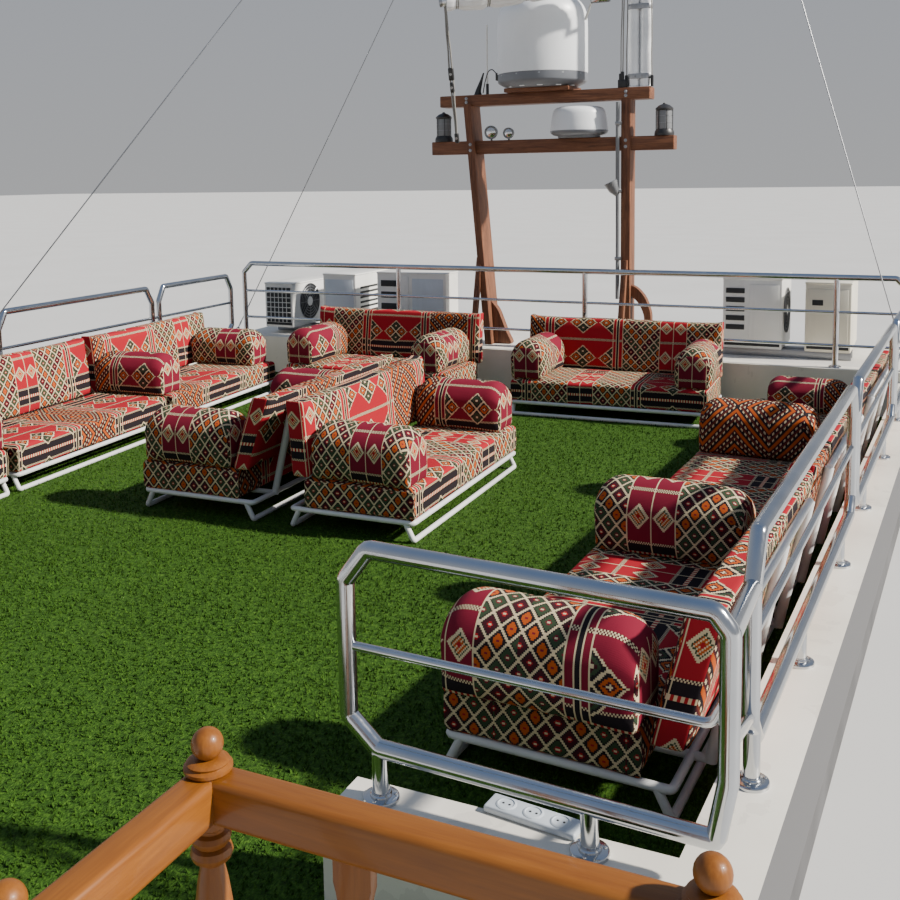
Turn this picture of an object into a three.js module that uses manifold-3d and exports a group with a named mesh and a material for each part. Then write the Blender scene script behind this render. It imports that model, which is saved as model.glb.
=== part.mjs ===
// Upper sun deck of a wooden dhow: deck, coamings, steel rails, sofas, gantry, mast and boom.
// Millimetres. X to starboard, Y towards the bow, Z up. The origin is the middle of the
// deck's footprint, on its flat underside.
import * as THREE from 'three';
import { mergeVertices } from 'three/addons/utils/BufferGeometryUtils.js';
import Module from 'manifold-3d';

const wasm = await Module();
wasm.setup();

// Clearance between touching pieces
const GAP = 0.3;

// Deck plan: the sides open towards the bow
const DECK_AFT = -4700;
const DECK_FORE = 4700;
const SLAB_TOP = 110;
const TURF_TOP = 130;
const HALF_WIDTH_AT_STAIR = 2985;
const STAIR_WALL_Y = -3170;
const SIDE_FLARE = 0.045;
const halfWidth = (y) => HALF_WIDTH_AT_STAIR + SIDE_FLARE * (y - STAIR_WALL_Y);

// Stair landing at the starboard aft corner
const LANDING_X = 3150;
const LANDING_FORE = -4070;
const LANDING_PORT = 2150;

// Coamings
const COAMING_WIDTH = 200;
const COAMING_TOP = 410;
const RAIL_INSET = { port: 90, starboard: 110 };
const FORE_COAMING = { inner: 3360, outer: 3520, top: 490 };
const AFT_COAMING = { inner: -4560, end: 1300 };
const STAIR_COAMING = { port: 1893, aft: 122, fore: 68 };
const ROOF_TOP = 470;

// Steel rails
const TUBE = 25;
const ROD = 12.5;
const TUBE_SIDES = 8;
// Each cut corner of a rail frame: its reach along the rail and up
const CUT = { top: [75, 130], low: [60, 75] };
const RAIL = { low: 530, mid: 830, top: 1105 };
const FORE_RAIL = {
  y: 3440, low: 670, mid: 940, top: 1220, end: 3130, corner: 90, posts: [-1350, 500, 2600],
};
// The panel at the stair rises towards port
const STAIR_RAIL = {
  port: 1911,
  end: 2913,
  low: 524,
  lowRise: 32,
  mid: 806,
  midRise: 21,
  midEnd: [2872, 880],
  top: 1075,
  topRise: 25,
  feet: [2004, 2583],
  cuts: { top: [69, 92], low: [87, 75], endTop: [36, 45], endLow: [27, 150] },
};
const PANEL_LINK = { from: 1030, to: 975, lowFrom: 760, lowTo: 612, thin: 15 };
const AFT_RAIL = { y: -4630, port: -2707, end: 1240, feet: [-2600, -1500, -500, 400, 1050] };
const FLANGE = { radius: 50, thick: 14 };

// Sofa, in its own frame: x along its length, y from its front edge back, z from the turf
const SOFA = { length: 1620, depth: 700, spacing: 1650 };
const SEAT = { low: 125, high: 290 };
const ARM = { width: 290, high: 610, round: 125, front: 40 };
const BACK = { thick: 115, low: 262, high: 728, foot: 758, lean: 50 };
const BACK_TO_BACK = 1810;
const SOFA_TUBE = 15;
const FRAME = { front: 25, rear: 775 };
const UPRIGHT = { radius: 21, top: 640, inboard: 220 };
const LEG_SPLAY = 48;

// Gantry over the bow end
const GANTRY_Y = 3850;
const LOWER_BEAM = { port: -1140, starboard: 1200, low: 2275, high: 2400, deep: 65 };
const UPPER_BEAM = { port: -1035, starboard: 990, low: 2722, high: 2827, deep: 90 };
const PORT_POST = { foot: -550, head: -745, wide: 70, deep: 250 };
const STARBOARD_POST = { foot: 776, head: 776, wide: 85, deep: 180 };
const BRACE = { half: 25, foot: 3560, head: 3760, high: 1300 };
const LANTERNS = [-1038, 1100];
const DOME = { x: -30, radius: 414, low: 2863, top: 3703 };
const RADAR = { x: 320, radius: 265, low: 2401, top: 2686 };

// Mast of two tubes side by side on the upper beam, with its stays
const MAST = { x: 881, apart: 54, radius: 52, top: 7600 };
const STAY = 6;

// Boom on the mast's aft side, held over the deck beside the dome
const BOOM = { pivotY: 3700, length: 1700, radius: 38, aftAngle: 28, innerZ: 3790, outerZ: 3545 };
const PIN = 9;
const EYE = 12;

// Basic shapes

const vec = (p) => new THREE.Vector3(p[0], p[1], p[2]);

function box(x0, x1, y0, y1, z0, z1) {
  const geometry = new THREE.BoxGeometry(x1 - x0, y1 - y0, z1 - z0);
  return geometry.translate((x0 + x1) / 2, (y0 + y1) / 2, (z0 + z1) / 2);
}

function prism(outline, z0, z1) {
  const shape = new THREE.Shape(outline.map(([x, y]) => new THREE.Vector2(x, y)));
  const geometry = new THREE.ExtrudeGeometry(shape, { depth: z1 - z0, bevelEnabled: false });
  return geometry.translate(0, 0, z0);
}

// A section drawn in depth and height, pushed along the length
function alongLength(outline, x0, x1) {
  const shape = new THREE.Shape(outline.map(([y, z]) => new THREE.Vector2(y, z)));
  const geometry = new THREE.ExtrudeGeometry(shape, { depth: x1 - x0, bevelEnabled: false });
  geometry.rotateX(Math.PI / 2);
  geometry.rotateZ(Math.PI / 2);
  return geometry.translate(x0, 0, 0);
}

// A section drawn in length and height, pushed along the depth
function alongDepth(outline, y0, y1) {
  const shape = new THREE.Shape(outline.map(([x, z]) => new THREE.Vector2(x, z)));
  const geometry = new THREE.ExtrudeGeometry(shape, { depth: y1 - y0, bevelEnabled: false });
  geometry.rotateX(Math.PI / 2);
  return geometry.translate(0, y1, 0);
}

function rod(a, b, radius, sides = TUBE_SIDES) {
  const from = vec(a);
  const to = vec(b);
  const geometry = new THREE.CylinderGeometry(radius, radius, from.distanceTo(to), sides);
  const turn = new THREE.Quaternion();
  turn.setFromUnitVectors(new THREE.Vector3(0, 1, 0), to.clone().sub(from).normalize());
  geometry.applyQuaternion(turn);
  const middle = from.add(to).multiplyScalar(0.5);
  return geometry.translate(middle.x, middle.y, middle.z);
}

function turned(profile, sides, x = 0, y = 0, z = 0) {
  const points = profile.map(([r, h]) => new THREE.Vector2(r, h));
  const geometry = new THREE.LatheGeometry(points, sides);
  return geometry.rotateX(Math.PI / 2).translate(x, y, z);
}

// A tube bent along straight stretches, with mitred corners
function pipe(points, radius, normal, closed = false, sides = TUBE_SIDES) {
  const path = points.map(vec);
  const count = path.length;
  const stretch = (i) => {
    const next = path[(i + 1) % count].clone();
    return next.sub(path[i]).normalize();
  };
  const side = vec(normal).normalize();
  const positions = [];
  for (let i = 0; i < count; i += 1) {
    const first = !closed && i === 0;
    const last = !closed && i === count - 1;
    const before = stretch(first ? 0 : (i + count - 1) % count);
    const after = stretch(last ? count - 2 : i);
    const mitre = before.clone().add(after).normalize();
    const up = new THREE.Vector3().crossVectors(before, side).normalize();
    for (let k = 0; k < sides; k += 1) {
      const angle = (2 * Math.PI * k) / sides;
      const offset = side.clone().multiplyScalar(radius * Math.cos(angle));
      offset.addScaledVector(up, radius * Math.sin(angle));
      offset.addScaledVector(before, -offset.dot(mitre) / before.dot(mitre));
      positions.push(...path[i].clone().add(offset).toArray());
    }
  }
  const index = [];
  const rings = closed ? count : count - 1;
  for (let i = 0; i < rings; i += 1) {
    for (let k = 0; k < sides; k += 1) {
      const a = i * sides + k;
      const b = i * sides + ((k + 1) % sides);
      const c = ((i + 1) % count) * sides + k;
      const d = ((i + 1) % count) * sides + ((k + 1) % sides);
      index.push(a, c, b, b, c, d);
    }
  }
  if (!closed) {
    const end = (count - 1) * sides;
    for (let k = 1; k < sides - 1; k += 1) {
      index.push(0, k, k + 1);
      index.push(end, end + k + 1, end + k);
    }
  }
  const geometry = new THREE.BufferGeometry();
  geometry.setAttribute('position', new THREE.Float32BufferAttribute(positions, 3));
  geometry.setIndex(index);
  return geometry;
}

// Joining and cutting

function solid(geometry) {
  const bare = geometry.clone();
  bare.deleteAttribute('normal');
  bare.deleteAttribute('uv');
  const merged = mergeVertices(bare, 1e-3);
  const vertProperties = new Float32Array(merged.attributes.position.array);
  const triVerts = new Uint32Array(merged.index.array);
  let made = new wasm.Manifold(new wasm.Mesh({ numProp: 3, vertProperties, triVerts }));
  if (made.volume() < 0) {
    const flipped = triVerts.slice();
    for (let i = 0; i < flipped.length; i += 3) {
      flipped[i] = triVerts[i + 1];
      flipped[i + 1] = triVerts[i];
    }
    made = new wasm.Manifold(new wasm.Mesh({ numProp: 3, vertProperties, triVerts: flipped }));
  }
  return made;
}

const join = (geometries) => geometries.map(solid).reduce((a, b) => a.add(b));

function toGeometry(made) {
  const mesh = made.getMesh();
  const geometry = new THREE.BufferGeometry();
  geometry.setAttribute('position', new THREE.BufferAttribute(mesh.vertProperties, 3));
  geometry.setIndex(new THREE.BufferAttribute(mesh.triVerts, 1));
  return geometry;
}

// Finishes: colour, roughness, metalness
const FINISH = {
  whitePaint: [0xe9e7e1, 0.55, 0],
  turf: [0x2c6a17, 0.95, 0],
  steel: [0xc4c8cc, 0.2, 1],
  teak: [0xa9561d, 0.35, 0],
  darkWood: [0x5d3322, 0.5, 0],
  plastic: [0xe4e5e6, 0.4, 0],
  castWhite: [0xd9dad8, 0.5, 0],
  sailcloth: [0xe3e2de, 0.8, 0],
  spar: [0xbfc3c6, 0.3, 1],
  whitePipe: [0xdfe0df, 0.35, 0],
  weave: [0x8c1a26, 0.9, 0],
};

const deck = new THREE.Group();

function add(name, shape, finish, parent = deck) {
  const [color, roughness, metalness] = FINISH[finish];
  const geometry = shape.isBufferGeometry ? toGeometry(solid(shape)) : toGeometry(shape);
  const material = new THREE.MeshStandardMaterial({ color, roughness, metalness });
  const mesh = new THREE.Mesh(geometry, material);
  mesh.name = name;
  parent.add(mesh);
  return mesh;
}

// Deck slab, turf and forward roof

const inner = (y) => halfWidth(y) - COAMING_WIDTH;
const railX = (side, y) => {
  const inset = side > 0 ? RAIL_INSET.starboard : RAIL_INSET.port;
  return side * (halfWidth(y) - inset);
};

add('deck_slab', prism([
  [-halfWidth(DECK_AFT), DECK_AFT],
  [LANDING_X, DECK_AFT],
  [LANDING_X, LANDING_FORE],
  [halfWidth(LANDING_FORE), LANDING_FORE],
  [halfWidth(DECK_FORE), DECK_FORE],
  [-halfWidth(DECK_FORE), DECK_FORE],
], 0, SLAB_TOP), 'darkWood');

const turfAft = AFT_COAMING.inner + GAP;
const turfFore = FORE_COAMING.inner - GAP;
const stairAft = STAIR_WALL_Y - STAIR_COAMING.aft;
const stairFore = STAIR_WALL_Y + STAIR_COAMING.fore;
add('turf', prism([
  [-inner(turfAft) + GAP, turfAft],
  [LANDING_PORT, turfAft],
  [LANDING_PORT, LANDING_FORE],
  [inner(LANDING_FORE) - GAP, LANDING_FORE],
  [inner(stairAft) - GAP, stairAft - GAP],
  [STAIR_COAMING.port - GAP, stairAft - GAP],
  [STAIR_COAMING.port - GAP, stairFore + GAP],
  [inner(stairFore) - GAP, stairFore + GAP],
  [inner(turfFore) - GAP, turfFore],
  [-inner(turfFore) + GAP, turfFore],
], SLAB_TOP + GAP, TURF_TOP), 'turf');

add('forward_roof', prism([
  [-halfWidth(FORE_COAMING.outer), FORE_COAMING.outer + GAP],
  [halfWidth(FORE_COAMING.outer), FORE_COAMING.outer + GAP],
  [halfWidth(DECK_FORE), DECK_FORE],
  [-halfWidth(DECK_FORE), DECK_FORE],
], SLAB_TOP + GAP, ROOF_TOP), 'castWhite');

// Coamings: each side one in an L, and one across the bow end

const coamingLow = SLAB_TOP + GAP;
add('coaming_port', prism([
  [-halfWidth(DECK_AFT), DECK_AFT],
  [AFT_COAMING.end, DECK_AFT],
  [AFT_COAMING.end, AFT_COAMING.inner],
  [-inner(AFT_COAMING.inner), AFT_COAMING.inner],
  [-inner(turfFore), turfFore],
  [-halfWidth(turfFore), turfFore],
], coamingLow, COAMING_TOP), 'whitePaint');

const starboardAft = LANDING_FORE + GAP;
add('coaming_starboard', prism([
  [inner(starboardAft), starboardAft],
  [halfWidth(starboardAft), starboardAft],
  [halfWidth(turfFore), turfFore],
  [inner(turfFore), turfFore],
  [inner(stairFore), stairFore],
  [STAIR_COAMING.port, stairFore],
  [STAIR_COAMING.port, stairAft],
  [inner(stairAft), stairAft],
], coamingLow, COAMING_TOP), 'whitePaint');

add('coaming_forward', prism([
  [-halfWidth(FORE_COAMING.inner), FORE_COAMING.inner],
  [halfWidth(FORE_COAMING.inner), FORE_COAMING.inner],
  [halfWidth(FORE_COAMING.outer), FORE_COAMING.outer],
  [-halfWidth(FORE_COAMING.outer), FORE_COAMING.outer],
], coamingLow, FORE_COAMING.top), 'whitePaint');

// Rails

function foot(x, y, base, top) {
  const low = base + GAP;
  return [
    rod([x, y, low], [x, y, low + FLANGE.thick], FLANGE.radius, 12),
    rod([x, y, low + FLANGE.thick / 2], [x, y, top], TUBE),
  ];
}

// A closed frame with cut corners in the upright plane from a to b, and a thin middle bar
// that may turn up into the end post
function railFrame(a, b, frame, cuts) {
  const { low, mid, top, midEnd, lowRise = 0, midRise = 0, topRise = 0 } = frame;
  const start = new THREE.Vector2(...a);
  const end = new THREE.Vector2(...b);
  const length = start.distanceTo(end);
  const at = (s, z) => {
    const p = start.clone().lerp(end, s / length);
    return [p.x, p.y, z];
  };
  const along = end.clone().sub(start).normalize();
  const rising = (s, z, rise) => at(s, z + rise * (1 - s / length));
  const { endTop = cuts.top, endLow = cuts.low } = cuts;
  const loop = [
    rising(cuts.low[0], low, lowRise),
    rising(length - endLow[0], low, lowRise),
    at(length, low + endLow[1]),
    at(length, top - endTop[1]),
    rising(length - endTop[0], top, topRise),
    rising(cuts.top[0], top, topRise),
    at(0, top + topRise - cuts.top[1]),
    at(0, low + lowRise + cuts.low[1]),
  ];
  const bars = midEnd
    ? [rod(at(0, mid + midRise), at(midEnd[0] - a[0], mid), ROD),
      rod(at(midEnd[0] - a[0] - 5, mid - 5), at(length, midEnd[1]), ROD)]
    : [rod(at(0, mid), at(length, mid), ROD)];
  return [pipe(loop, TUBE, [along.y, -along.x, 0], true), ...bars];
}

const railPoint = (side, y) => [railX(side, y), y];

// Sections of a side rail: aft end, fore end and the places of its feet
function sideRail(side, sections) {
  const pieces = [];
  sections.forEach(({ aft, fore, feet }, i) => {
    const [a, b] = [railPoint(side, aft), railPoint(side, fore)];
    pieces.push(...railFrame(a, b, RAIL, CUT));
    feet.forEach((y) => {
      const rise = CUT.low[1] * Math.max(0, 1 - (y - aft) / CUT.low[0]);
      pieces.push(...foot(railX(side, y), y, COAMING_TOP, RAIL.low + rise));
    });
    if (i > 0) {
      const before = sections[i - 1].fore;
      pieces.push(rod([...railPoint(side, before), RAIL.mid], [...a, RAIL.mid], ROD));
    }
  });
  return pieces;
}

const starboardSections = [
  { aft: -2735, fore: -530, feet: [-2707, -1914, -910] },
  { aft: -430, fore: 1560, feet: [-66, 965] },
  { aft: 1660, fore: 3270, feet: [2000, 2930] },
];
const portSections = [
  { aft: -4480, fore: -2190, feet: [-4290, -3330, -2380] },
  { aft: -2090, fore: 100, feet: [-1900, -990, -90] },
  { aft: 200, fore: 2010, feet: [400, 1820] },
  { aft: 2110, fore: 3270, feet: [2300, 3090] },
];

const panelFoot = [STAIR_RAIL.end, STAIR_WALL_Y];
const panelLow = (x) => STAIR_RAIL.low
  + (STAIR_RAIL.lowRise * (STAIR_RAIL.end - x)) / (STAIR_RAIL.end - STAIR_RAIL.port);
const stairPanel = [
  ...railFrame([STAIR_RAIL.port, STAIR_WALL_Y], panelFoot, STAIR_RAIL, STAIR_RAIL.cuts),
  ...STAIR_RAIL.feet.flatMap((x) => foot(x, STAIR_WALL_Y, COAMING_TOP, panelLow(x))),
];
const nearPost = railPoint(1, starboardSections[0].aft);
const panelLinks = [
  rod([...panelFoot, PANEL_LINK.from], [...nearPost, PANEL_LINK.to], TUBE),
  rod([...panelFoot, PANEL_LINK.lowFrom], [...nearPost, PANEL_LINK.lowTo], PANEL_LINK.thin),
];
const starboardRail = [...stairPanel, ...panelLinks, ...sideRail(1, starboardSections)];
add('rail_starboard', join(starboardRail), 'steel');

const aftRailPort = [AFT_RAIL.port, AFT_RAIL.y];
const aftRail = [
  ...railFrame(aftRailPort, [AFT_RAIL.end, AFT_RAIL.y], RAIL, CUT),
  ...AFT_RAIL.feet.flatMap((x) => foot(x, AFT_RAIL.y, COAMING_TOP, RAIL.low)),
  rod([...aftRailPort, RAIL.mid], [...railPoint(-1, portSections[0].aft), RAIL.mid], ROD),
];
add('rail_port', join([...aftRail, ...sideRail(-1, portSections)]), 'steel');

// The forward rail stands on posts and turns down at both ends
const foreRail = [
  pipe([
    [-FORE_RAIL.end, FORE_RAIL.y, FORE_RAIL.low],
    [-FORE_RAIL.end, FORE_RAIL.y, FORE_RAIL.top - FORE_RAIL.corner],
    [-FORE_RAIL.end + FORE_RAIL.corner, FORE_RAIL.y, FORE_RAIL.top],
    [FORE_RAIL.end - FORE_RAIL.corner, FORE_RAIL.y, FORE_RAIL.top],
    [FORE_RAIL.end, FORE_RAIL.y, FORE_RAIL.top - FORE_RAIL.corner],
    [FORE_RAIL.end, FORE_RAIL.y, FORE_RAIL.low],
  ], TUBE, [0, 1, 0]),
  rod([-FORE_RAIL.end, FORE_RAIL.y, FORE_RAIL.mid], [FORE_RAIL.end, FORE_RAIL.y, FORE_RAIL.mid], ROD),
  rod([-FORE_RAIL.end, FORE_RAIL.y, FORE_RAIL.low], [FORE_RAIL.end, FORE_RAIL.y, FORE_RAIL.low], ROD),
  ...[-FORE_RAIL.end, FORE_RAIL.end].flatMap(
    (x) => foot(x, FORE_RAIL.y, FORE_COAMING.top, FORE_RAIL.mid)),
  ...FORE_RAIL.posts.flatMap((x) => foot(x, FORE_RAIL.y, FORE_COAMING.top, FORE_RAIL.top)),
];
add('rail_forward', join(foreRail), 'steel');

// Wooden balustrade round the stair landing: three turned posts with balls, two handrails

const BALUSTRADE = { corner: [2230, -4165], starboard: [3060, -4165], aft: [2230, -4585] };
const HANDRAIL = { low: 1008, high: 1086, half: 32 };
const BASE_RAIL = { low: 190, high: 235 };
const NEWEL = [
  [0, 0], [38, 0], [38, 220], [24, 265], [44, 560], [20, 812], [35, 832], [35, 848], [27, 862],
  [37, 880], [37, 984], [28, 992], [14, 997], [26, 1012], [26, 1032], [14, 1046], [0, 1049],
];

function handrail(a, b) {
  const alongX = a[1] === b[1];
  const span = (half, z0, z1) => (alongX
    ? box(a[0], b[0], a[1] - half, a[1] + half, z0, z1)
    : box(a[0] - half, a[0] + half, b[1], a[1], z0, z1));
  const pieces = [
    span(HANDRAIL.half, HANDRAIL.low, HANDRAIL.high),
    span(HANDRAIL.half - 5, BASE_RAIL.low, BASE_RAIL.high),
  ];
  const length = alongX ? b[0] - a[0] : a[1] - b[1];
  const slats = Math.round(length / 280) - 1;
  for (let i = 1; i <= slats; i += 1) {
    const s = (i * length) / (slats + 1);
    const x = alongX ? a[0] + s : a[0];
    const y = alongX ? a[1] : a[1] - s;
    const [w, d] = alongX ? [35, 12] : [12, 35];
    pieces.push(box(x - w, x + w, y - d, y + d, BASE_RAIL.low + 10, HANDRAIL.low + 10));
  }
  return pieces;
}

const newels = Object.values(BALUSTRADE).map(([x, y]) => turned(NEWEL, 10, x, y, SLAB_TOP + GAP));
add('balustrade', join([
  ...newels,
  ...handrail(BALUSTRADE.corner, BALUSTRADE.starboard),
  ...handrail(BALUSTRADE.corner, BALUSTRADE.aft),
]), 'teak');

// Sofas. Each place has a pipe frame, a seat, a back and the arms it carries.

const level = SEAT.low - SOFA_TUBE - 1;

// Where the back's uprights stand on the frame and where they end behind the cushion
function uprights(back) {
  const behind = BACK.thick / 2 + UPRIGHT.radius + 3;
  return {
    foot: back.foot + behind - 4,
    head: back.foot + behind + (back.lean * UPRIGHT.top) / back.high,
  };
}

function sofaFrame(back) {
  const side = SOFA.length / 2 - 35;
  const stand = side - UPRIGHT.inboard;
  const { front, rear } = FRAME;
  const floor = SOFA_TUBE;
  const { foot: upFoot, head: upHead } = uprights(back);
  const tube = (a, b) => rod(a, b, SOFA_TUBE, 6);
  const pieces = [];
  [[front, 1], [rear, -1]].forEach(([y, inboard]) => {
    pieces.push(tube([-side, y, level], [side, y, level]));
    pieces.push(tube([-side, y, floor], [side, y, floor]));
    [-1, 1].forEach((s) => pieces.push(
      tube([s * side, y, floor], [s * side, y + inboard * LEG_SPLAY, level])));
  });
  [-side, side].forEach((s) => pieces.push(tube([s, front, level], [s, rear, level])));
  [-stand, 0, stand].forEach((s) => {
    pieces.push(tube([s, front, level], [s, upFoot, level]));
    pieces.push(rod([s, upFoot, level - 5], [s, upHead, UPRIGHT.top], UPRIGHT.radius, 8));
  });
  pieces.push(tube([-stand, upHead, UPRIGHT.top], [stand, upHead, UPRIGHT.top]));
  return pieces;
}

function armOutline(high) {
  const low = SEAT.high + GAP;
  const half = ARM.width / 2;
  const points = [[-half, low], [half, low]];
  const steps = 6;
  for (let i = 0; i <= steps; i += 1) {
    const angle = (Math.PI * i) / steps;
    points.push([half * Math.cos(angle), high - ARM.round + ARM.round * Math.sin(angle)]);
  }
  return points;
}

const halfThick = BACK.thick / 2;
const backOutline = ({ foot: y, low, high, lean }) => [
  [y - halfThick, low],
  [y + halfThick, low],
  [y + lean + halfThick, high - 30],
  [y + lean + halfThick - 30, high],
  [y + lean - halfThick + 30, high],
  [y + lean - halfThick, high - 30],
];

// A row: the middle of its front edge, the way it faces, and its sofas. Each sofa has its
// place along the row and its arms, and may stand back to back with the row. An arm may stand
// out past its sofa's end, or back from the front, or be lower than the others.
const LEFT = -1;
const RIGHT = 1;
const arm = (end, out = 0, front = ARM.front, high = ARM.high) => ({ end, out, front, high });
const ARMS = [arm(LEFT), arm(RIGHT)];
const ROWS = [
  {
    name: 'port',
    front: [-1930, 30],
    facing: 94.3,
    sofas: [
      { name: 'port_aft', x: -SOFA.spacing, arms: ARMS },
      { name: 'port_middle', x: 0, arms: [] },
      { name: 'port_forward', x: SOFA.spacing, arms: [arm(LEFT, 60, 60), arm(RIGHT, -60, 60)] },
    ],
  },
  {
    name: 'starboard',
    front: [1995, -90],
    facing: -92.9,
    back: { low: 230, high: 710, lean: 120 },
    sofas: [
      {
        name: 'starboard_forward',
        x: -SOFA.spacing,
        arms: [arm(LEFT, -137, 180, 520), arm(RIGHT, 120)],
      },
      { name: 'starboard_middle', x: 0, arms: [] },
      { name: 'starboard_aft', x: SOFA.spacing, arms: [arm(LEFT, 45), arm(RIGHT, 70)] },
    ],
  },
  {
    name: 'centre',
    front: [850, 120],
    facing: 91,
    back: { foot: 702, low: 291, lean: 40 },
    sofas: [
      { name: 'centre_starboard', x: 0, arms: ARMS },
      { name: 'centre_port', x: 0, arms: ARMS, turned: true, lean: 150 },
    ],
  },
  {
    name: 'bow_port',
    front: [-1160, 2360],
    facing: 0,
    sofas: [{ name: 'bow_port', x: 0, arms: [arm(LEFT), arm(RIGHT, -85)], longer: 90 }],
  },
  {
    name: 'bow_starboard',
    front: [990, 2400],
    facing: 2,
    sofas: [{ name: 'bow_starboard', x: 0, arms: ARMS, longer: 75 }],
  },
];

// Short tubes clamp neighbouring frames to each other
const clamp = (a, b) => rod(a, b, SOFA_TUBE - 3, 6);

ROWS.forEach(({ name, front, facing, sofas, back: rowBack = {} }) => {
  const row = new THREE.Group();
  row.position.set(front[0], front[1], TURF_TOP + GAP);
  row.rotation.z = THREE.MathUtils.degToRad(facing);
  deck.add(row);
  const place = (geometry, sofa) => (sofa.turned
    ? geometry.rotateZ(Math.PI).translate(sofa.x, BACK_TO_BACK, 0)
    : geometry.translate(sofa.x, 0, 0));
  const backs = sofas.map(({ lean }) => ({ ...BACK, ...rowBack, ...(lean ? { lean } : {}) }));
  const frame = sofas.flatMap((sofa, i) => sofaFrame(backs[i]).map((tube) => place(tube, sofa)));
  sofas.slice(1).forEach((sofa, i) => {
    const middle = (sofas[i].x + sofa.x) / 2;
    if (sofa.turned) {
      const near = uprights(backs[i]).head;
      const far = BACK_TO_BACK - uprights(backs[i + 1]).head;
      [-400, 400].forEach((x) => frame.push(
        clamp([x, near, UPRIGHT.top], [x, far, UPRIGHT.top])));
    } else {
      [FRAME.front, FRAME.rear].forEach((y) => frame.push(
        clamp([middle - 50, y, level], [middle + 50, y, level])));
    }
  });
  add(`sofa_frame_${name}`, join(frame), 'whitePipe', row);
  const half = SOFA.length / 2;
  sofas.forEach((sofa, i) => {
    const back = backs[i];
    const seat = box(-half, half, 0, SOFA.depth - 2, SEAT.low, SEAT.high);
    add(`seat_${sofa.name}`, place(seat, sofa), 'weave', row);
    const { longer = 0 } = sofa;
    const cushion = alongLength(backOutline(back), -half - longer, half);
    add(`back_${sofa.name}`, place(cushion, sofa), 'weave', row);
    const armEnd = Math.min(SOFA.depth, back.foot - halfThick) - 8;
    sofa.arms.forEach(({ end, out, front: armFront, high }) => {
      const x = end * (half - ARM.width / 2 + out);
      const shape = alongDepth(armOutline(high), armFront, armEnd).translate(x, 0, 0);
      add(`arm_${sofa.name}_${end === LEFT ? 'left' : 'right'}`, place(shape, sofa), 'weave', row);
    });
  });
});

// Gantry: two posts, two beams, knees, braces, the dome's pad and two lanterns

function post({ foot: bottom, head, wide, deep }) {
  const half = wide / 2;
  const high = UPPER_BEAM.low + 20;
  return alongDepth([
    [bottom - half, ROOF_TOP + GAP], [bottom + half, ROOF_TOP + GAP],
    [head + half, high], [head - half, high],
  ], GANTRY_Y - deep / 2, GANTRY_Y + deep / 2);
}

function beam({ port, starboard, low, high, deep }) {
  return box(port, starboard, GANTRY_Y - deep, GANTRY_Y + deep, low, high);
}

// A stay timber from the roof up to the aft side of a post
const brace = (x) => alongLength([
  [BRACE.foot - BRACE.half, ROOF_TOP + GAP], [BRACE.foot + BRACE.half, ROOF_TOP + GAP],
  [BRACE.head + BRACE.half, BRACE.high], [BRACE.head - BRACE.half, BRACE.high],
], x - BRACE.half, x + BRACE.half);

const footZ = ROOF_TOP + GAP;
const PORT_KNEE = [[-540, footZ], [-330, footZ], [-385, 560], [-480, 800], [-560, 890], [-590, 890]];
const STARBOARD_KNEE = [
  [1000, footZ], [1000, 820], [950, 960], [880, 1040], [805, 1080],
  [805, 975], [860, 940], [900, 890], [940, 800], [940, footZ],
];
const KNEE_DEEP = 40;
const knee = (outline) => alongDepth(outline, GANTRY_Y - KNEE_DEEP, GANTRY_Y + KNEE_DEEP);

const LANTERN = [[0, 0], [85, 0], [85, 50], [70, 60], [74, 225], [84, 232], [60, 262], [0, 283]];
const DOME_PAD = { half: 325, deep: 200 };

add('gantry', join([
  post(PORT_POST),
  post(STARBOARD_POST),
  beam(LOWER_BEAM),
  beam(UPPER_BEAM),
  brace(-640),
  brace(STARBOARD_POST.head),
  knee(PORT_KNEE),
  knee(STARBOARD_KNEE),
  box(DOME.x - DOME_PAD.half, DOME.x + DOME_PAD.half, GANTRY_Y - DOME_PAD.deep,
    GANTRY_Y + DOME_PAD.deep, UPPER_BEAM.high - 5, DOME.low - GAP),
  ...LANTERNS.map((x) => turned(LANTERN, 10, x, GANTRY_Y, LOWER_BEAM.high - 3)),
]), 'darkWood');

const domeHigh = DOME.top - DOME.low;
add('satellite_dome', turned([
  [0, 0], [300, 0], [385, 45], [DOME.radius, 130], [DOME.radius - 5, domeHigh * 0.62],
  [DOME.radius - 35, domeHigh * 0.83], [DOME.radius - 130, domeHigh * 0.95],
  [150, domeHigh * 0.995], [0, domeHigh],
], 24, DOME.x, GANTRY_Y, DOME.low), 'plastic');

const radarHigh = RADAR.top - RADAR.low;
add('radar_dome', turned([
  [0, 0], [190, 0], [200, 28], [RADAR.radius, 45], [RADAR.radius, 85],
  [RADAR.radius - 28, radarHigh * 0.86], [RADAR.radius - 80, radarHigh], [0, radarHigh],
], 20, RADAR.x, GANTRY_Y, RADAR.low), 'plastic');

// Mast, gooseneck lug with its pin, and the stays

const mastFoot = UPPER_BEAM.high + GAP;
const bands = [mastFoot + 30, 3500, 4600, 5700, 6800];
const lugZ = BOOM.innerZ - 75;
add('mast', join([
  ...[-1, 1].map((s) => rod(
    [MAST.x + s * MAST.apart, GANTRY_Y, mastFoot],
    [MAST.x + s * MAST.apart, GANTRY_Y, MAST.top], MAST.radius, 12)),
  ...bands.map((z) => box(
    MAST.x - 30, MAST.x + 30, GANTRY_Y - 30, GANTRY_Y + 30, z, z + 60)),
  box(MAST.x - 114, MAST.x + 114, GANTRY_Y - 60, GANTRY_Y + 60, MAST.top - 10, MAST.top + 15),
  box(MAST.x - 22, MAST.x + 22, BOOM.pivotY - 22, GANTRY_Y, lugZ, lugZ + 18),
  rod([MAST.x, BOOM.pivotY, lugZ + 5], [MAST.x, BOOM.pivotY, BOOM.innerZ + 70], PIN, 12),
]), 'spar');

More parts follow.
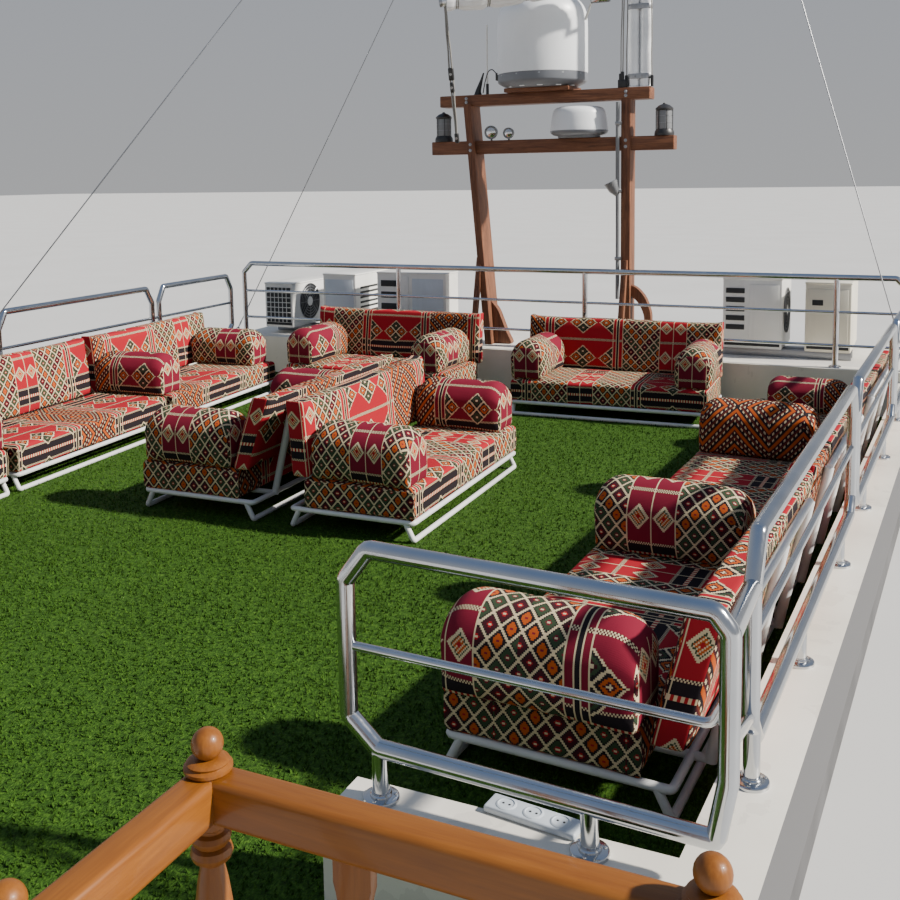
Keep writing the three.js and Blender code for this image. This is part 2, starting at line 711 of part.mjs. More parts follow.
const headZ = MAST.top + 15 + GAP;
const HEAD_PLATE = 165;
const headPlate = rod([MAST.x, GANTRY_Y, headZ], [MAST.x, GANTRY_Y, headZ + 14], HEAD_PLATE, 16);
const STAY_FEET = [
  { side: -1, y: -480, base: COAMING_TOP, inset: 8 },
  { side: -1, y: 3495, base: FORE_COAMING.top, inset: 8 },
  { side: 1, y: 2500, base: COAMING_TOP, inset: 16 },
];
const CHAINPLATE = { half: 14, inboard: 6, wide: 20, high: 55 };
const stays = STAY_FEET.flatMap(({ side, y, base, inset }) => {
  const x = side * (halfWidth(y) - inset);
  const plateX = x - side * CHAINPLATE.inboard;
  const away = new THREE.Vector2(x - MAST.x, y - GANTRY_Y).setLength(HEAD_PLATE - 30);
  return [
    rod([MAST.x + away.x, GANTRY_Y + away.y, headZ + 8], [x, y, base + 40], STAY, 6),
    box(plateX - CHAINPLATE.half, plateX + CHAINPLATE.half,
      y - CHAINPLATE.wide, y + CHAINPLATE.wide,
      base + GAP, base + CHAINPLATE.high),
  ];
});
add('main_stays', join([headPlate, ...stays]), 'steel');

// Boom and the sail furled round it

const boomAngle = THREE.MathUtils.degToRad(180 + BOOM.aftAngle);
const boomAt = (s, drop = 0, across = 0) => [
  MAST.x + s * Math.cos(boomAngle) - across * Math.sin(boomAngle),
  BOOM.pivotY + s * Math.sin(boomAngle) + across * Math.cos(boomAngle),
  BOOM.innerZ + (s / BOOM.length) * (BOOM.outerZ - BOOM.innerZ) + drop,
];

const boomTube = rod(boomAt(60), boomAt(BOOM.length), BOOM.radius, 10);
const eyeLow = lugZ + 18 + 4;
const eyeHigh = BOOM.innerZ + 45;
const eyeRing = join([
  rod([MAST.x, BOOM.pivotY, eyeLow], [MAST.x, BOOM.pivotY, eyeHigh], 24, 12),
  rod(boomAt(12), boomAt(80), 14, 8),
]);
const eyeHole = solid(
  rod([MAST.x, BOOM.pivotY, eyeLow - 20], [MAST.x, BOOM.pivotY, eyeHigh + 20], EYE, 12));
add('boom', solid(boomTube).add(eyeRing).subtract(eyeHole), 'spar');

// Sections of the furled sail: place along the boom, half width, and reach above and below
const SAIL_SECTIONS = [
  [150, 55, 60, 60],
  [400, 88, 95, 100],
  [900, 100, 110, 118],
  [1350, 92, 100, 112],
  [1640, 62, 60, 85],
];
const SAIL_SIDES = 12;

function furledSail() {
  const positions = [];
  SAIL_SECTIONS.forEach(([s, half, above, below]) => {
    for (let k = 0; k < SAIL_SIDES; k += 1) {
      const angle = (2 * Math.PI * k) / SAIL_SIDES;
      const rise = Math.sin(angle) > 0 ? above : below;
      positions.push(...boomAt(s, rise * Math.sin(angle), half * Math.cos(angle)));
    }
  });
  const index = [];
  const rings = SAIL_SECTIONS.length;
  for (let i = 0; i < rings - 1; i += 1) {
    for (let k = 0; k < SAIL_SIDES; k += 1) {
      const a = i * SAIL_SIDES + k;
      const b = i * SAIL_SIDES + ((k + 1) % SAIL_SIDES);
      index.push(a, b, a + SAIL_SIDES, b, b + SAIL_SIDES, a + SAIL_SIDES);
    }
  }
  const end = (rings - 1) * SAIL_SIDES;
  for (let k = 1; k < SAIL_SIDES - 1; k += 1) {
    index.push(0, k + 1, k, end, end + k, end + k + 1);
  }
  const geometry = new THREE.BufferGeometry();
  geometry.setAttribute('position', new THREE.Float32BufferAttribute(positions, 3));
  geometry.setIndex(index);
  return geometry;
}

const boomSpace = solid(rod(boomAt(20), boomAt(BOOM.length + 40), BOOM.radius + 1, 10));
add('furled_sail', solid(furledSail()).subtract(boomSpace), 'sailcloth');

// Condensers of the cooling plant on steel bearers: x and y limits and top of each unit

const BEARER = { low: ROOF_TOP + GAP, high: ROOF_TOP + 70, rows: [3930, 4080] };
const CONDENSERS = {
  port: [
    { x: [-3060, -2710], y: [3680, 4440], top: 1000 },
    { x: [-2420, -2030], y: [3800, 4560], top: 1100 },
    { x: [-1800, -1030], y: [3820, 4130], top: 1130 },
  ],
  starboard: [
    { x: [1620, 2130], y: [3880, 4500], top: 1160 },
    { x: [2310, 2690], y: [3880, 4640], top: 1135 },
  ],
};

Object.entries(CONDENSERS).forEach(([name, units]) => {
  const from = units[0].x[0];
  const to = units[units.length - 1].x[1];
  const bearers = BEARER.rows.map((y) => box(from, to, y - 20, y + 20, BEARER.low, BEARER.high));
  const cases = units.map(({ x, y, top }) => box(x[0], x[1], y[0], y[1], BEARER.high - 5, top));
  add(`condensers_${name}`, join([...bearers, ...cases]), 'castWhite');
});

export default deck;
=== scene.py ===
"""Looks of the dhow's upper deck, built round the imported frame. Metres, X starboard, Y bow, Z up."""

import math

import bmesh
import bpy
import numpy as np
from mathutils import Matrix, Vector, noise


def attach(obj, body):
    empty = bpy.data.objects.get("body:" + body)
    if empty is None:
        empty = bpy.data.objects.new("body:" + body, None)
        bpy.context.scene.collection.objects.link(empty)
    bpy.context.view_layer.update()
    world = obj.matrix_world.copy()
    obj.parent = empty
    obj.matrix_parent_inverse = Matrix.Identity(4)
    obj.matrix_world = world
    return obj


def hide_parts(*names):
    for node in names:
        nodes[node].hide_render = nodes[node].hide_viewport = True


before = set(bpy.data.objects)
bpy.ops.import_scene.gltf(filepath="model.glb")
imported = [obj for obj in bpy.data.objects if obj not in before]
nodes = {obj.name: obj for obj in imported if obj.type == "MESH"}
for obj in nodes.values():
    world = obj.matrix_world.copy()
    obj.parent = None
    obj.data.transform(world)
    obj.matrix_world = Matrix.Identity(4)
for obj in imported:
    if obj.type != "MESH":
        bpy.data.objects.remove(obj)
# Without a seed the vector noise starts from the clock, and the cushions differ from run to run
noise.seed_set(11)
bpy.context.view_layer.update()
DECK = "deck"
BOOM = "boom"

# Deck plan and heights
HALF_AT_STAIR = 2.985
STAIR_Y = -3.17
FLARE = 0.045
TURF_TOP = 0.130
COAMING_TOP = 0.410
FORE_TOP = 0.490
ROOF_TOP = 0.470
GANTRY_Y = 3.85
GAP = 0.0003


def half_width(y):
    return HALF_AT_STAIR + FLARE * (y - STAIR_Y)


def rail_x(side, y):
    return side * (half_width(y) - (0.11 if side > 0 else 0.09))


def add_object(name, data):
    made = bpy.data.objects.new(name, data)
    bpy.context.scene.collection.objects.link(made)
    return made


def placed(at, degrees=0.0, axis="Z"):
    """A place and a turn in one matrix."""
    return Matrix.Translation(at) @ Matrix.Rotation(math.radians(degrees), 4, axis)


# Camera, floor and light

PHOTO_SIZE = 900
FOCAL_PIXELS = 1057
SENSOR = 36.0
EYE = (3.30, -5.50, 2.06)
LOOKS_ALONG = (-0.4151, 0.9024, -0.1151)
LEVEL_SIDE = (0.9085, 0.4179, 0)
ROLL = -0.85
SHIFT_UP = -0.1667
NEAREST, FARTHEST = 0.05, 400


def make_camera():
    forward = Vector(LOOKS_ALONG).normalized()
    level = Vector(LEVEL_SIDE).normalized()
    above = level.cross(forward)
    roll = math.radians(ROLL)
    side = math.cos(roll) * level + math.sin(roll) * above
    up = math.cos(roll) * above - math.sin(roll) * level
    data = bpy.data.cameras.new("camera")
    data.lens = FOCAL_PIXELS / PHOTO_SIZE * SENSOR
    data.sensor_width = SENSOR
    data.shift_y = SHIFT_UP
    data.clip_start, data.clip_end = NEAREST, FARTHEST
    camera = add_object("camera", data)
    turn = Matrix((side, up, -forward)).transposed().to_4x4()
    camera.matrix_world = Matrix.Translation(EYE) @ turn
    bpy.context.scene.camera = camera


make_camera()


# Node helpers


def operator(operation):
    return lambda value, *others: value.net.math(operation, value, *others)


class Val:
    """A number in a material: a socket or a plain float."""

    __add__ = __radd__ = operator("ADD")
    __sub__ = operator("SUBTRACT")
    __mul__ = __rmul__ = operator("MULTIPLY")
    __truediv__ = operator("DIVIDE")
    __abs__ = operator("ABSOLUTE")
    __lt__ = operator("LESS_THAN")
    __gt__ = operator("GREATER_THAN")
    floor = operator("FLOOR")
    mod = operator("FLOORED_MODULO")
    least = operator("MINIMUM")
    most = operator("MAXIMUM")

    def __init__(self, net, value):
        self.net = net
        self.value = value

    def __rsub__(self, other):
        return self.net.math("SUBTRACT", other, self)

    def pick(self, yes, no):
        """yes where this is 1, no where it is 0."""
        return self.net.math("MULTIPLY_ADD", self, yes - no, no)


class Net:
    """Short names for the nodes of one material."""

    def __init__(self, name, roughness, metallic=0.0, **constants):
        self.material = bpy.data.materials.new(name)
        self.material.use_nodes = True
        self.tree = self.material.node_tree
        self.shader = self.tree.nodes["Principled BSDF"]
        self.set("Roughness", roughness)
        self.set("Metallic", metallic)
        for key, value in constants.items():
            self.set(key.replace("_", " "), value)

    def node(self, kind):
        return self.tree.nodes.new(kind)

    def feed(self, socket, value):
        value = value.value if isinstance(value, Val) else value
        if isinstance(value, bpy.types.NodeSocket):
            self.tree.links.new(value, socket)
        else:
            socket.default_value = value

    def set(self, name, value):
        if isinstance(value, tuple) and len(value) == 3:
            value = (*value, 1)
        self.feed(self.shader.inputs[name], value)

    def math(self, operation, *inputs):
        node = self.node("ShaderNodeMath")
        node.operation = operation
        for socket, value in zip(node.inputs, inputs):
            self.feed(socket, value)
        return Val(self, node.outputs[0])

    def place(self, kind="Object", scale=(1, 1, 1)):
        out = self.node("ShaderNodeTexCoord").outputs[kind]
        if scale == (1, 1, 1):
            return out
        mapping = self.node("ShaderNodeMapping")
        self.feed(mapping.inputs["Vector"], out)
        mapping.inputs["Scale"].default_value = scale
        return mapping.outputs[0]

    def noise(self, scale, detail=3.0, where=None, twist=0.0):
        node = self.node("ShaderNodeTexNoise")
        self.feed(node.inputs["Vector"], where or self.place())
        node.inputs["Scale"].default_value = scale
        node.inputs["Detail"].default_value = detail
        node.inputs["Distortion"].default_value = twist
        return Val(self, node.outputs["Fac"])

    def ramp(self, value, *stops, steps=False):
        node = self.node("ShaderNodeValToRGB")
        self.feed(node.inputs[0], value)
        node.color_ramp.interpolation = "CONSTANT" if steps else "LINEAR"
        elements = node.color_ramp.elements
        for i, (position, colour) in enumerate(stops):
            if i > 1:
                elements.new(position)
            elements[i].position = position
            elements[i].color = (*colour, 1)
        return node.outputs[0]

    def mix(self, share, a, b, blend="MIX"):
        node = self.node("ShaderNodeMix")
        node.data_type = "RGBA"
        node.blend_type = blend
        self.feed(node.inputs[0], share)
        for socket, value in ((node.inputs[6], a), (node.inputs[7], b)):
            self.feed(socket, (*value, 1) if isinstance(value, tuple) else value)
        return node.outputs[2]

    def split(self, socket):
        node = self.node("ShaderNodeSeparateXYZ")
        self.feed(node.inputs[0], socket)
        return [Val(self, out) for out in node.outputs]

    def normal(self):
        return self.split(self.node("ShaderNodeNewGeometry").outputs["Normal"])

    def bump(self, *layers):
        """Layers of (height, strength, distance in metres), one on another."""
        below = None
        for height, strength, distance in layers:
            node = self.node("ShaderNodeBump")
            node.inputs["Strength"].default_value = strength
            node.inputs["Distance"].default_value = distance
            self.feed(node.inputs["Height"], height)
            if below:
                self.feed(node.inputs["Normal"], below)
            below = node.outputs[0]
        self.set("Normal", below)


# Materials


def paint(name, light, dark, roughness=0.45, grime=0.35):
    net = Net(name, roughness)
    patches = net.noise(1.7, 5)
    specks = net.noise(38, 4)
    streaks = net.noise(5, 4, net.place(scale=(3, 3, 0.35)))
    colour = net.ramp(patches, (0.3, dark), (0.62, light))
    colour = net.mix((streaks > 0.6) * grime * 0.35, colour, tuple(c * 0.72 for c in dark))
    net.set("Base Color", net.mix(grime * (specks - 0.35), colour, dark))
    net.set("Roughness", net.math("MULTIPLY_ADD", specks, 0.25, roughness - 0.1))
    net.bump((net.noise(140, 2), 0.12, 0.001), (patches, 0.1, 0.004))
    return net.material


def steel(name, colour, roughness):
    net = Net(name, roughness, 1.0)
    smear = net.noise(7, 4)
    brushed = net.noise(90, 3, net.place(scale=(1, 1, 0.2)))
    net.set("Base Color", net.ramp(smear, (0.3, tuple(c * 0.86 for c in colour)), (0.7, colour)))
    net.set("Roughness", net.math("MULTIPLY_ADD", smear * brushed, 0.3, roughness - 0.03))
    net.bump((brushed, 0.03, 0.001))
    return net.material


def wood(name, dark, light, grain, roughness, coat=0.0):
    """Timber with its grain along the axis given by the smallest number in grain."""
    net = Net(name, roughness, Coat_Weight=coat, Coat_Roughness=0.06, Specular_IOR_Level=0.3)
    where = net.place(scale=grain)
    bands = net.noise(2.2, 6, where, 1.4)
    fibres = net.noise(16, 4, where)
    tone = bands * 0.65 + fibres * 0.35
    colour = net.ramp(tone, (0.33, dark), (0.5, tuple((a + b) / 2 for a, b in zip(dark, light))),
                      (0.66, light))
    blotch = net.noise(3.1, 3)
    net.set("Base Color", net.mix(0.45 * blotch, colour, dark))
    net.set("Roughness", net.math("MULTIPLY_ADD", fibres, 0.22, roughness - 0.1))
    net.bump((fibres, 0.22, 0.0012), (bands, 0.15, 0.003))
    return net.material


GRAIN_X = (1, 14, 14)
GRAIN_Y = (14, 1, 14)
GRAIN_Z = (14, 14, 1)
TEAK = ((0.17, 0.055, 0.009), (0.26, 0.094, 0.014))
OILED = ((0.080, 0.031, 0.018), (0.29, 0.120, 0.058))

teak_x = wood("teak_x", *TEAK, GRAIN_X, 0.4, 0.12)
teak_y = wood("teak_y", *TEAK, GRAIN_Y, 0.4, 0.12)
teak_z = wood("teak_z", *TEAK, GRAIN_Z, 0.4, 0.12)
oiled_x = wood("oiled_x", *OILED, GRAIN_X, 0.55)
oiled_z = wood("oiled_z", *OILED, GRAIN_Z, 0.55)
white_paint = paint("white_paint", (0.80, 0.78, 0.73), (0.62, 0.60, 0.55))
grey_paint = paint("grey_paint", (0.10, 0.10, 0.10), (0.055, 0.055, 0.055))
case_paint = paint("case_paint", (0.80, 0.80, 0.77), (0.66, 0.66, 0.62), 0.35, 0.25)
case_blue = paint("case_blue", (0.60, 0.66, 0.72), (0.48, 0.53, 0.58), 0.35, 0.25)
case_cream = paint("case_cream", (0.78, 0.74, 0.62), (0.66, 0.62, 0.50), 0.35, 0.25)
pipe_paint = paint("pipe_paint", (0.76, 0.77, 0.77), (0.58, 0.59, 0.59), 0.32, 0.3)
dome_white = paint("dome_white", (0.82, 0.85, 0.88), (0.74, 0.77, 0.80), 0.33, 0.12)
dome_grey = paint("dome_grey", (0.17, 0.185, 0.21), (0.12, 0.13, 0.15), 0.4, 0.15)
black_plastic = paint("black_plastic", (0.025, 0.025, 0.027), (0.012, 0.012, 0.013), 0.4, 0.3)
lamp_grey = paint("lamp_grey", (0.20, 0.21, 0.22), (0.12, 0.12, 0.13), 0.35, 0.3)
polished = steel("polished", (0.58, 0.60, 0.63), 0.10)
wire_steel = steel("wire_steel", (0.34, 0.35, 0.37), 0.35)
spar_metal = steel("spar_metal", (0.88, 0.89, 0.90), 0.36)
rope_grey = paint("rope_grey", (0.30, 0.29, 0.27), (0.16, 0.155, 0.145), 0.8, 0.4)
sailcloth = paint("sail_cloth", (0.83, 0.83, 0.84), (0.70, 0.70, 0.71), 0.8, 0.25)
slot_dark = paint("slot_dark", (0.02, 0.022, 0.025), (0.01, 0.011, 0.012), 0.6, 0.3)


def turf_material(name):
    net = Net(name, 0.85, Specular_IOR_Level=0.15)
    broad = net.noise(0.9, 4)
    tufts = net.noise(46, 4, twist=0.6)
    blades = net.noise(210, 3, net.place(scale=(1, 0.45, 1)))
    tone = tufts * 0.5 + blades * 0.5
    colour = net.ramp(tone, (0.36, (0.008, 0.025, 0.002)), (0.5, (0.030, 0.086, 0.007)),
                      (0.64, (0.078, 0.168, 0.019)))
    net.set("Base Color", net.mix(0.4 * broad, colour, (0.026, 0.058, 0.006)))
    net.bump((tufts, 0.6, 0.012), (blades, 0.9, 0.008))
    return net.material


PLANK_WIDE, PLANK_LONG = 0.12, 2.4


def plank_material():
    net = Net("deck_planks", 0.6)
    x, y, _ = net.split(net.place())
    seam = (x / PLANK_WIDE).mod(1.0)
    dark_seam = (seam < 0.05).most((y / PLANK_LONG + (x / PLANK_WIDE).floor() * 0.37).mod(1.0) < 0.003)
    where = net.place(scale=(14, 1, 14))
    fibres = net.noise(3, 5, where, 1.2)
    board = net.noise(0.9, 0, net.place(scale=(9, 0.1, 1)))
    colour = net.ramp(fibres * 0.6 + board * 0.4, (0.35, (0.10, 0.055, 0.030)), (0.65, (0.30, 0.19, 0.11)))
    colour = net.mix(dark_seam, colour, (0.012, 0.010, 0.009))
    # Painted shade: the slab's upright edges are dark grey, standing in for the shaded lower deck beyond
    # the coaming
    edge = net.ramp(net.noise(4, 4), (0.3, (0.055, 0.055, 0.058)), (0.7, (0.10, 0.10, 0.105)))
    net.set("Base Color", net.mix(abs(net.normal()[2]) < 0.7, colour, edge))
    net.bump((1.0 - dark_seam, 0.5, 0.002), (fibres, 0.2, 0.001))
    return net.material


def coaming_material():
    """White on the top and inner faces; the outer faces get painted shade, a dark grey standing in for a
    shadow cast from beside the boat.
    """
    net = Net("coaming_paint_and_shade", 0.5)
    x, facing = net.split(net.place())[0], net.normal()[0]
    side = (x > 0).pick(1.0, -1.0)
    # Painted shade: outer picks the outward faces of the side coamings, which are coloured dark grey below
    outer = (facing * side > 0.5) * (abs(x) > 2.5)
    patches = net.noise(1.3, 5)
    grime = net.noise(6, 5, net.place(scale=(1, 1, 0.5)))
    colour = net.ramp(patches, (0.3, (0.66, 0.63, 0.55)), (0.6, (0.84, 0.81, 0.73)))
    colour = net.mix((grime > 0.6) * 0.16, colour, (0.36, 0.33, 0.28))
    # Painted shade: the outward faces turn dark grey in place of a cast shadow
    net.set("Base Color", net.mix(outer, colour, (0.085, 0.085, 0.09)))
    net.bump((net.noise(120, 2), 0.15, 0.001), (patches, 0.12, 0.006))
    return net.material


# The woven cloth. Its cells are 5.3 mm wide and 6.25 mm high; the bands run up the cloth and
# mirror about the middle of the crimson pair, and the designs in them repeat every 96 rows.
CELL_WIDE = 0.0053
CELL_HIGH = 0.00625
REPEAT_WIDE = 468
LATTICE_FROM = 2400
REPEAT_HIGH = 96
PAIR_END = 21
LATTICE_END = 77
STRIPE_END = 93
BIG_END = 185
KILIM_START = 201
BIG_MIDDLE = 139
BLACK, CRIMSON, CREAM, ORANGE, GREEN, MAROON, BROWN, SCARLET = [i / 8 + 0.02 for i in range(8)]
DYES = [
    (0.010, 0.008, 0.012),
    (0.17, 0.005, 0.024),
    (0.62, 0.52, 0.33),
    (0.44, 0.085, 0.010),
    (0.030, 0.058, 0.028),
    (0.050, 0.006, 0.013),
    (0.12, 0.022, 0.010),
    (0.38, 0.010, 0.016),
]
SEAT_RED = (0.33, 0.007, 0.018)


def lattice_design(x, row):
    """Stepped cream lines with nested diamonds, their colours in chevrons."""
    period = 14
    rise, fall = (x + row).mod(period), (x - row).mod(period)
    line = (rise < 2).most(fall < 2)
    ring = abs(rise - 7.5).most(abs(fall - 7.5))
    middle = (PAIR_END + LATTICE_END) / 2
    which = (x < middle).pick(((x + row) / period).floor(), ((x - row) / period).floor()).mod(3)
    flower = abs(rise - 7.5).least(abs(fall - 7.5))
    orange = (ring < 1.1).pick(CRIMSON, ((ring < 4.1) * (flower < 3.1)).pick(ORANGE, BLACK))
    green = (ring < 1.1).pick(CREAM, (ring < 2.1).pick(CRIMSON, (ring < 5.1).pick(GREEN, BLACK)))
    dark = (ring < 1.1).pick(CREAM, (ring < 2.1).pick(SCARLET, (ring < 5.1).pick(MAROON, BLACK)))
    inner = (which < 0.5).pick(orange, (which < 1.5).pick(green, dark))
    return line.pick(CREAM, inner)


def pair_design(x, w, ground):
    """Two crimson panels, each with an ornate diamond and a cream line between them."""
    reach = abs(x - 10.5) + abs(w - 20)
    check = (x + w).mod(3) < 1
    ornate = (reach < 2.2).pick(SCARLET, check.pick(CREAM, (reach < 5.2).pick(ORANGE, GREEN)))
    ornate = (reach > 7.4).pick(CREAM, ornate)
    design = (reach < 9).pick(ornate, ground)
    return (x < 1).most(x > PAIR_END - 2).pick(CREAM, design)


def big_design(x, w, ground):
    """Clusters of four diamonds, with crimson triangles between them."""
    across = abs(x - BIG_MIDDLE)
    across = across.least(46 - across) * 0.8
    up = abs(w - 25)
    reach = across + up
    cross = abs(across - up)
    ring = abs(reach - 8.5).most(abs(cross - 8.5))
    fill = (across > up).pick(ORANGE, GREEN)
    inner = (ring < 1.4).pick(CREAM, (ring < 3).pick(MAROON, (ring < 5.2).pick(fill, BLACK)))
    inner = (cross < 1.2).most(reach > 15.4).pick(CREAM, inner)
    return (reach < 17).pick(inner, ground)


def stripe_design(x, ground):
    s = (x < BIG_MIDDLE).pick(x - LATTICE_END, 200 - x)
    cream = (s < 1).most(abs(s - 6) < 0.5).most(abs(s - 10) < 0.5).most(s > 14.5)
    return cream.pick(CREAM, (abs(s - 8) < 1.5).pick(BLACK, ground))


def kilim_design(across, w):
    """Nested stepped diamonds with dashed cream edges."""
    ring = (across + w).mod(17)
    dash = (across.mod(4) < 2).pick(CREAM, BLACK)
    design = (ring < 2).pick(dash, (ring < 5).pick(BLACK, (ring < 9).pick(ORANGE, MAROON)))
    return ((ring > 10.5) * (ring < 12.5)).pick(dash, (ring > 14.5).pick(BROWN, design))


def cloth_material(name, red=DYES[1], kilim_only=False):
    """Its ground is dyed in the given red."""
    net = Net(name, 0.9, Specular_IOR_Level=0.2)
    tints = [DYES[0], red, *DYES[2:]]
    uv = net.node("ShaderNodeUVMap")
    uv.uv_map = "cloth"
    u, v, _ = net.split(uv.outputs[0])
    column, row = (u / CELL_WIDE).floor(), (v / CELL_HIGH).floor()
    half = REPEAT_HIGH / 2
    w = abs((row + half).mod(REPEAT_HIGH) - half)
    if kilim_only:
        across = abs((column + 36).mod(72) - 36)
        index = kilim_design(across, w)
    else:
        fold = REPEAT_WIDE / 2
        x = abs((column + fold).mod(REPEAT_WIDE) - fold)
        dots = ((x + row).mod(2) < 0.5).pick(CREAM, MAROON)
        ground = (w < 2).pick(dots, (w > 39.5).pick(BLACK, (w > 37.9).pick(dots, CRIMSON)))
        ground = (w > 46.5).pick((x.mod(4) < 2).pick(CREAM, SCARLET), ground)
        index = pair_design(x, w, ground)
        index = (x < PAIR_END).pick(index, lattice_design(x, row))
        index = (x < LATTICE_END).pick(index, stripe_design(x, ground))
        index = ((x > STRIPE_END - 0.5) * (x < BIG_END)).pick(big_design(x, w, ground), index)
        index = (x < KILIM_START).pick(index, kilim_design(fold - x, w))
        lattice_only = abs(column.mod(84) - 42) + 7
        index = (column > LATTICE_FROM).pick(lattice_design(lattice_only, row), index)
    dyes = net.ramp(index, *[(i / 8, dye) for i, dye in enumerate(tints)], steps=True)
    fade = net.noise(2.3, 4)
    fuzz = net.noise(420, 2)
    worn = net.mix(0.22 * fade, dyes, (0.42, 0.26, 0.20), "SOFT_LIGHT")
    net.set("Base Color", net.mix(0.3 * fuzz, worn, (0.035, 0.02, 0.015), "SCREEN"))
    ribs = abs((u / 0.0025).mod(1.0) - 0.5)
    weft = abs((v / CELL_HIGH).mod(1.0) - 0.5)
    net.bump((fuzz, 0.25, 0.0008), (ribs + weft, 0.35, 0.0010))
    return net.material


turf_green = turf_material("turf_green")
turf_blade = turf_material("turf_blade")
planks = plank_material()
coaming_paint_and_shade = coaming_material()
sadu = cloth_material("sadu_cloth")
sadu_red = cloth_material("sadu_cloth_red", SEAT_RED)
kilim = cloth_material("kilim_cloth", kilim_only=True)


SKY_STRENGTH, SUN_STRENGTH, SUN_WIDTH = 0.50, 9.0, 2.5
SUN_TOWARD = (1.375, 0.235, 1.0)
FLOOR_HALF = 150


def light_scene():
    world = bpy.data.worlds.new("studio")
    bpy.context.scene.world = world
    world.use_nodes = True
    tree = world.node_tree
    split = tree.nodes.new("ShaderNodeSeparateXYZ")
    tree.links.new(tree.nodes.new("ShaderNodeTexCoord").outputs["Generated"], split.inputs[0])
    ramp = tree.nodes.new("ShaderNodeValToRGB")
    tree.links.new(split.outputs[2], ramp.inputs[0])
    elements = ramp.color_ramp.elements
    elements[0].color = (0.86, 0.87, 0.89, 1)
    elements[1].color = (0.34, 0.50, 0.82, 1)
    tree.links.new(ramp.outputs[0], tree.nodes["Background"].inputs[0])
    tree.nodes["Background"].inputs[1].default_value = SKY_STRENGTH
    sun = bpy.data.lights.new("key", "SUN")
    sun.energy = SUN_STRENGTH
    sun.angle = math.radians(SUN_WIDTH)
    sun.color = (1.0, 0.94, 0.85)
    lamp = add_object("key", sun)
    lamp.rotation_mode = "QUATERNION"
    lamp.rotation_quaternion = Vector(SUN_TOWARD).normalized().to_track_quat("Z", "Y")
    net = Net("floor_pale", 0.7)
    net.set("Base Color", net.ramp(net.noise(0.6, 3), (0.3, (0.56, 0.56, 0.55)), (0.7, (0.60, 0.60, 0.59))))
    mesh = bpy.data.meshes.new("floor")
    corners = [(x * FLOOR_HALF, y * FLOOR_HALF, 0) for x, y in ((-1, -1), (1, -1), (1, 1), (-1, 1))]
    mesh.from_pydata(corners, [], [(0, 1, 2, 3)])
    mesh.materials.append(net.material)
    floor = add_object("floor", mesh)
    floor.location.z = -0.001


light_scene()


# Shapes


def bends(points, radius, steps=4, closed=False):
    """The same path with its corners rounded."""
    path = [Vector(p) for p in points]
    count = len(path)
    made = []
    for i, corner in enumerate(path):
        if not closed and i in (0, count - 1):
            made.append(corner)
            continue
        before = path[(i - 1) % count] - corner
        after = path[(i + 1) % count] - corner
        reach = min(radius, before.length * 0.45, after.length * 0.45)
        start = corner + before.normalized() * reach
        end = corner + after.normalized() * reach
        for k in range(steps + 1):
            t = k / steps
            made.append(start * (1 - t) ** 2 + corner * 2 * t * (1 - t) + end * t * t)
    return made


def circle(radius, count, at=(0, 0, 0)):
    """Points round an upright axis."""
    angles = [k * math.tau / count for k in range(count)]
    return [(at[0] + radius * math.cos(a), at[1] + radius * math.sin(a), at[2]) for a in angles]


def skin(rings, count, closed=False):
    """Faces between rings of count points each."""
    faces = []
    for i in range(rings if closed else rings - 1):
        here, there = i * count, (i + 1) % rings * count
        for k in range(count):
            n = (k + 1) % count
            faces.append((here + k, here + n, there + n, there + k))
    return faces


def face_out(mesh):
    made = bmesh.new()
    made.from_mesh(mesh)
    bmesh.ops.recalc_face_normals(made, faces=made.faces)
    made.to_mesh(mesh)
    made.free()


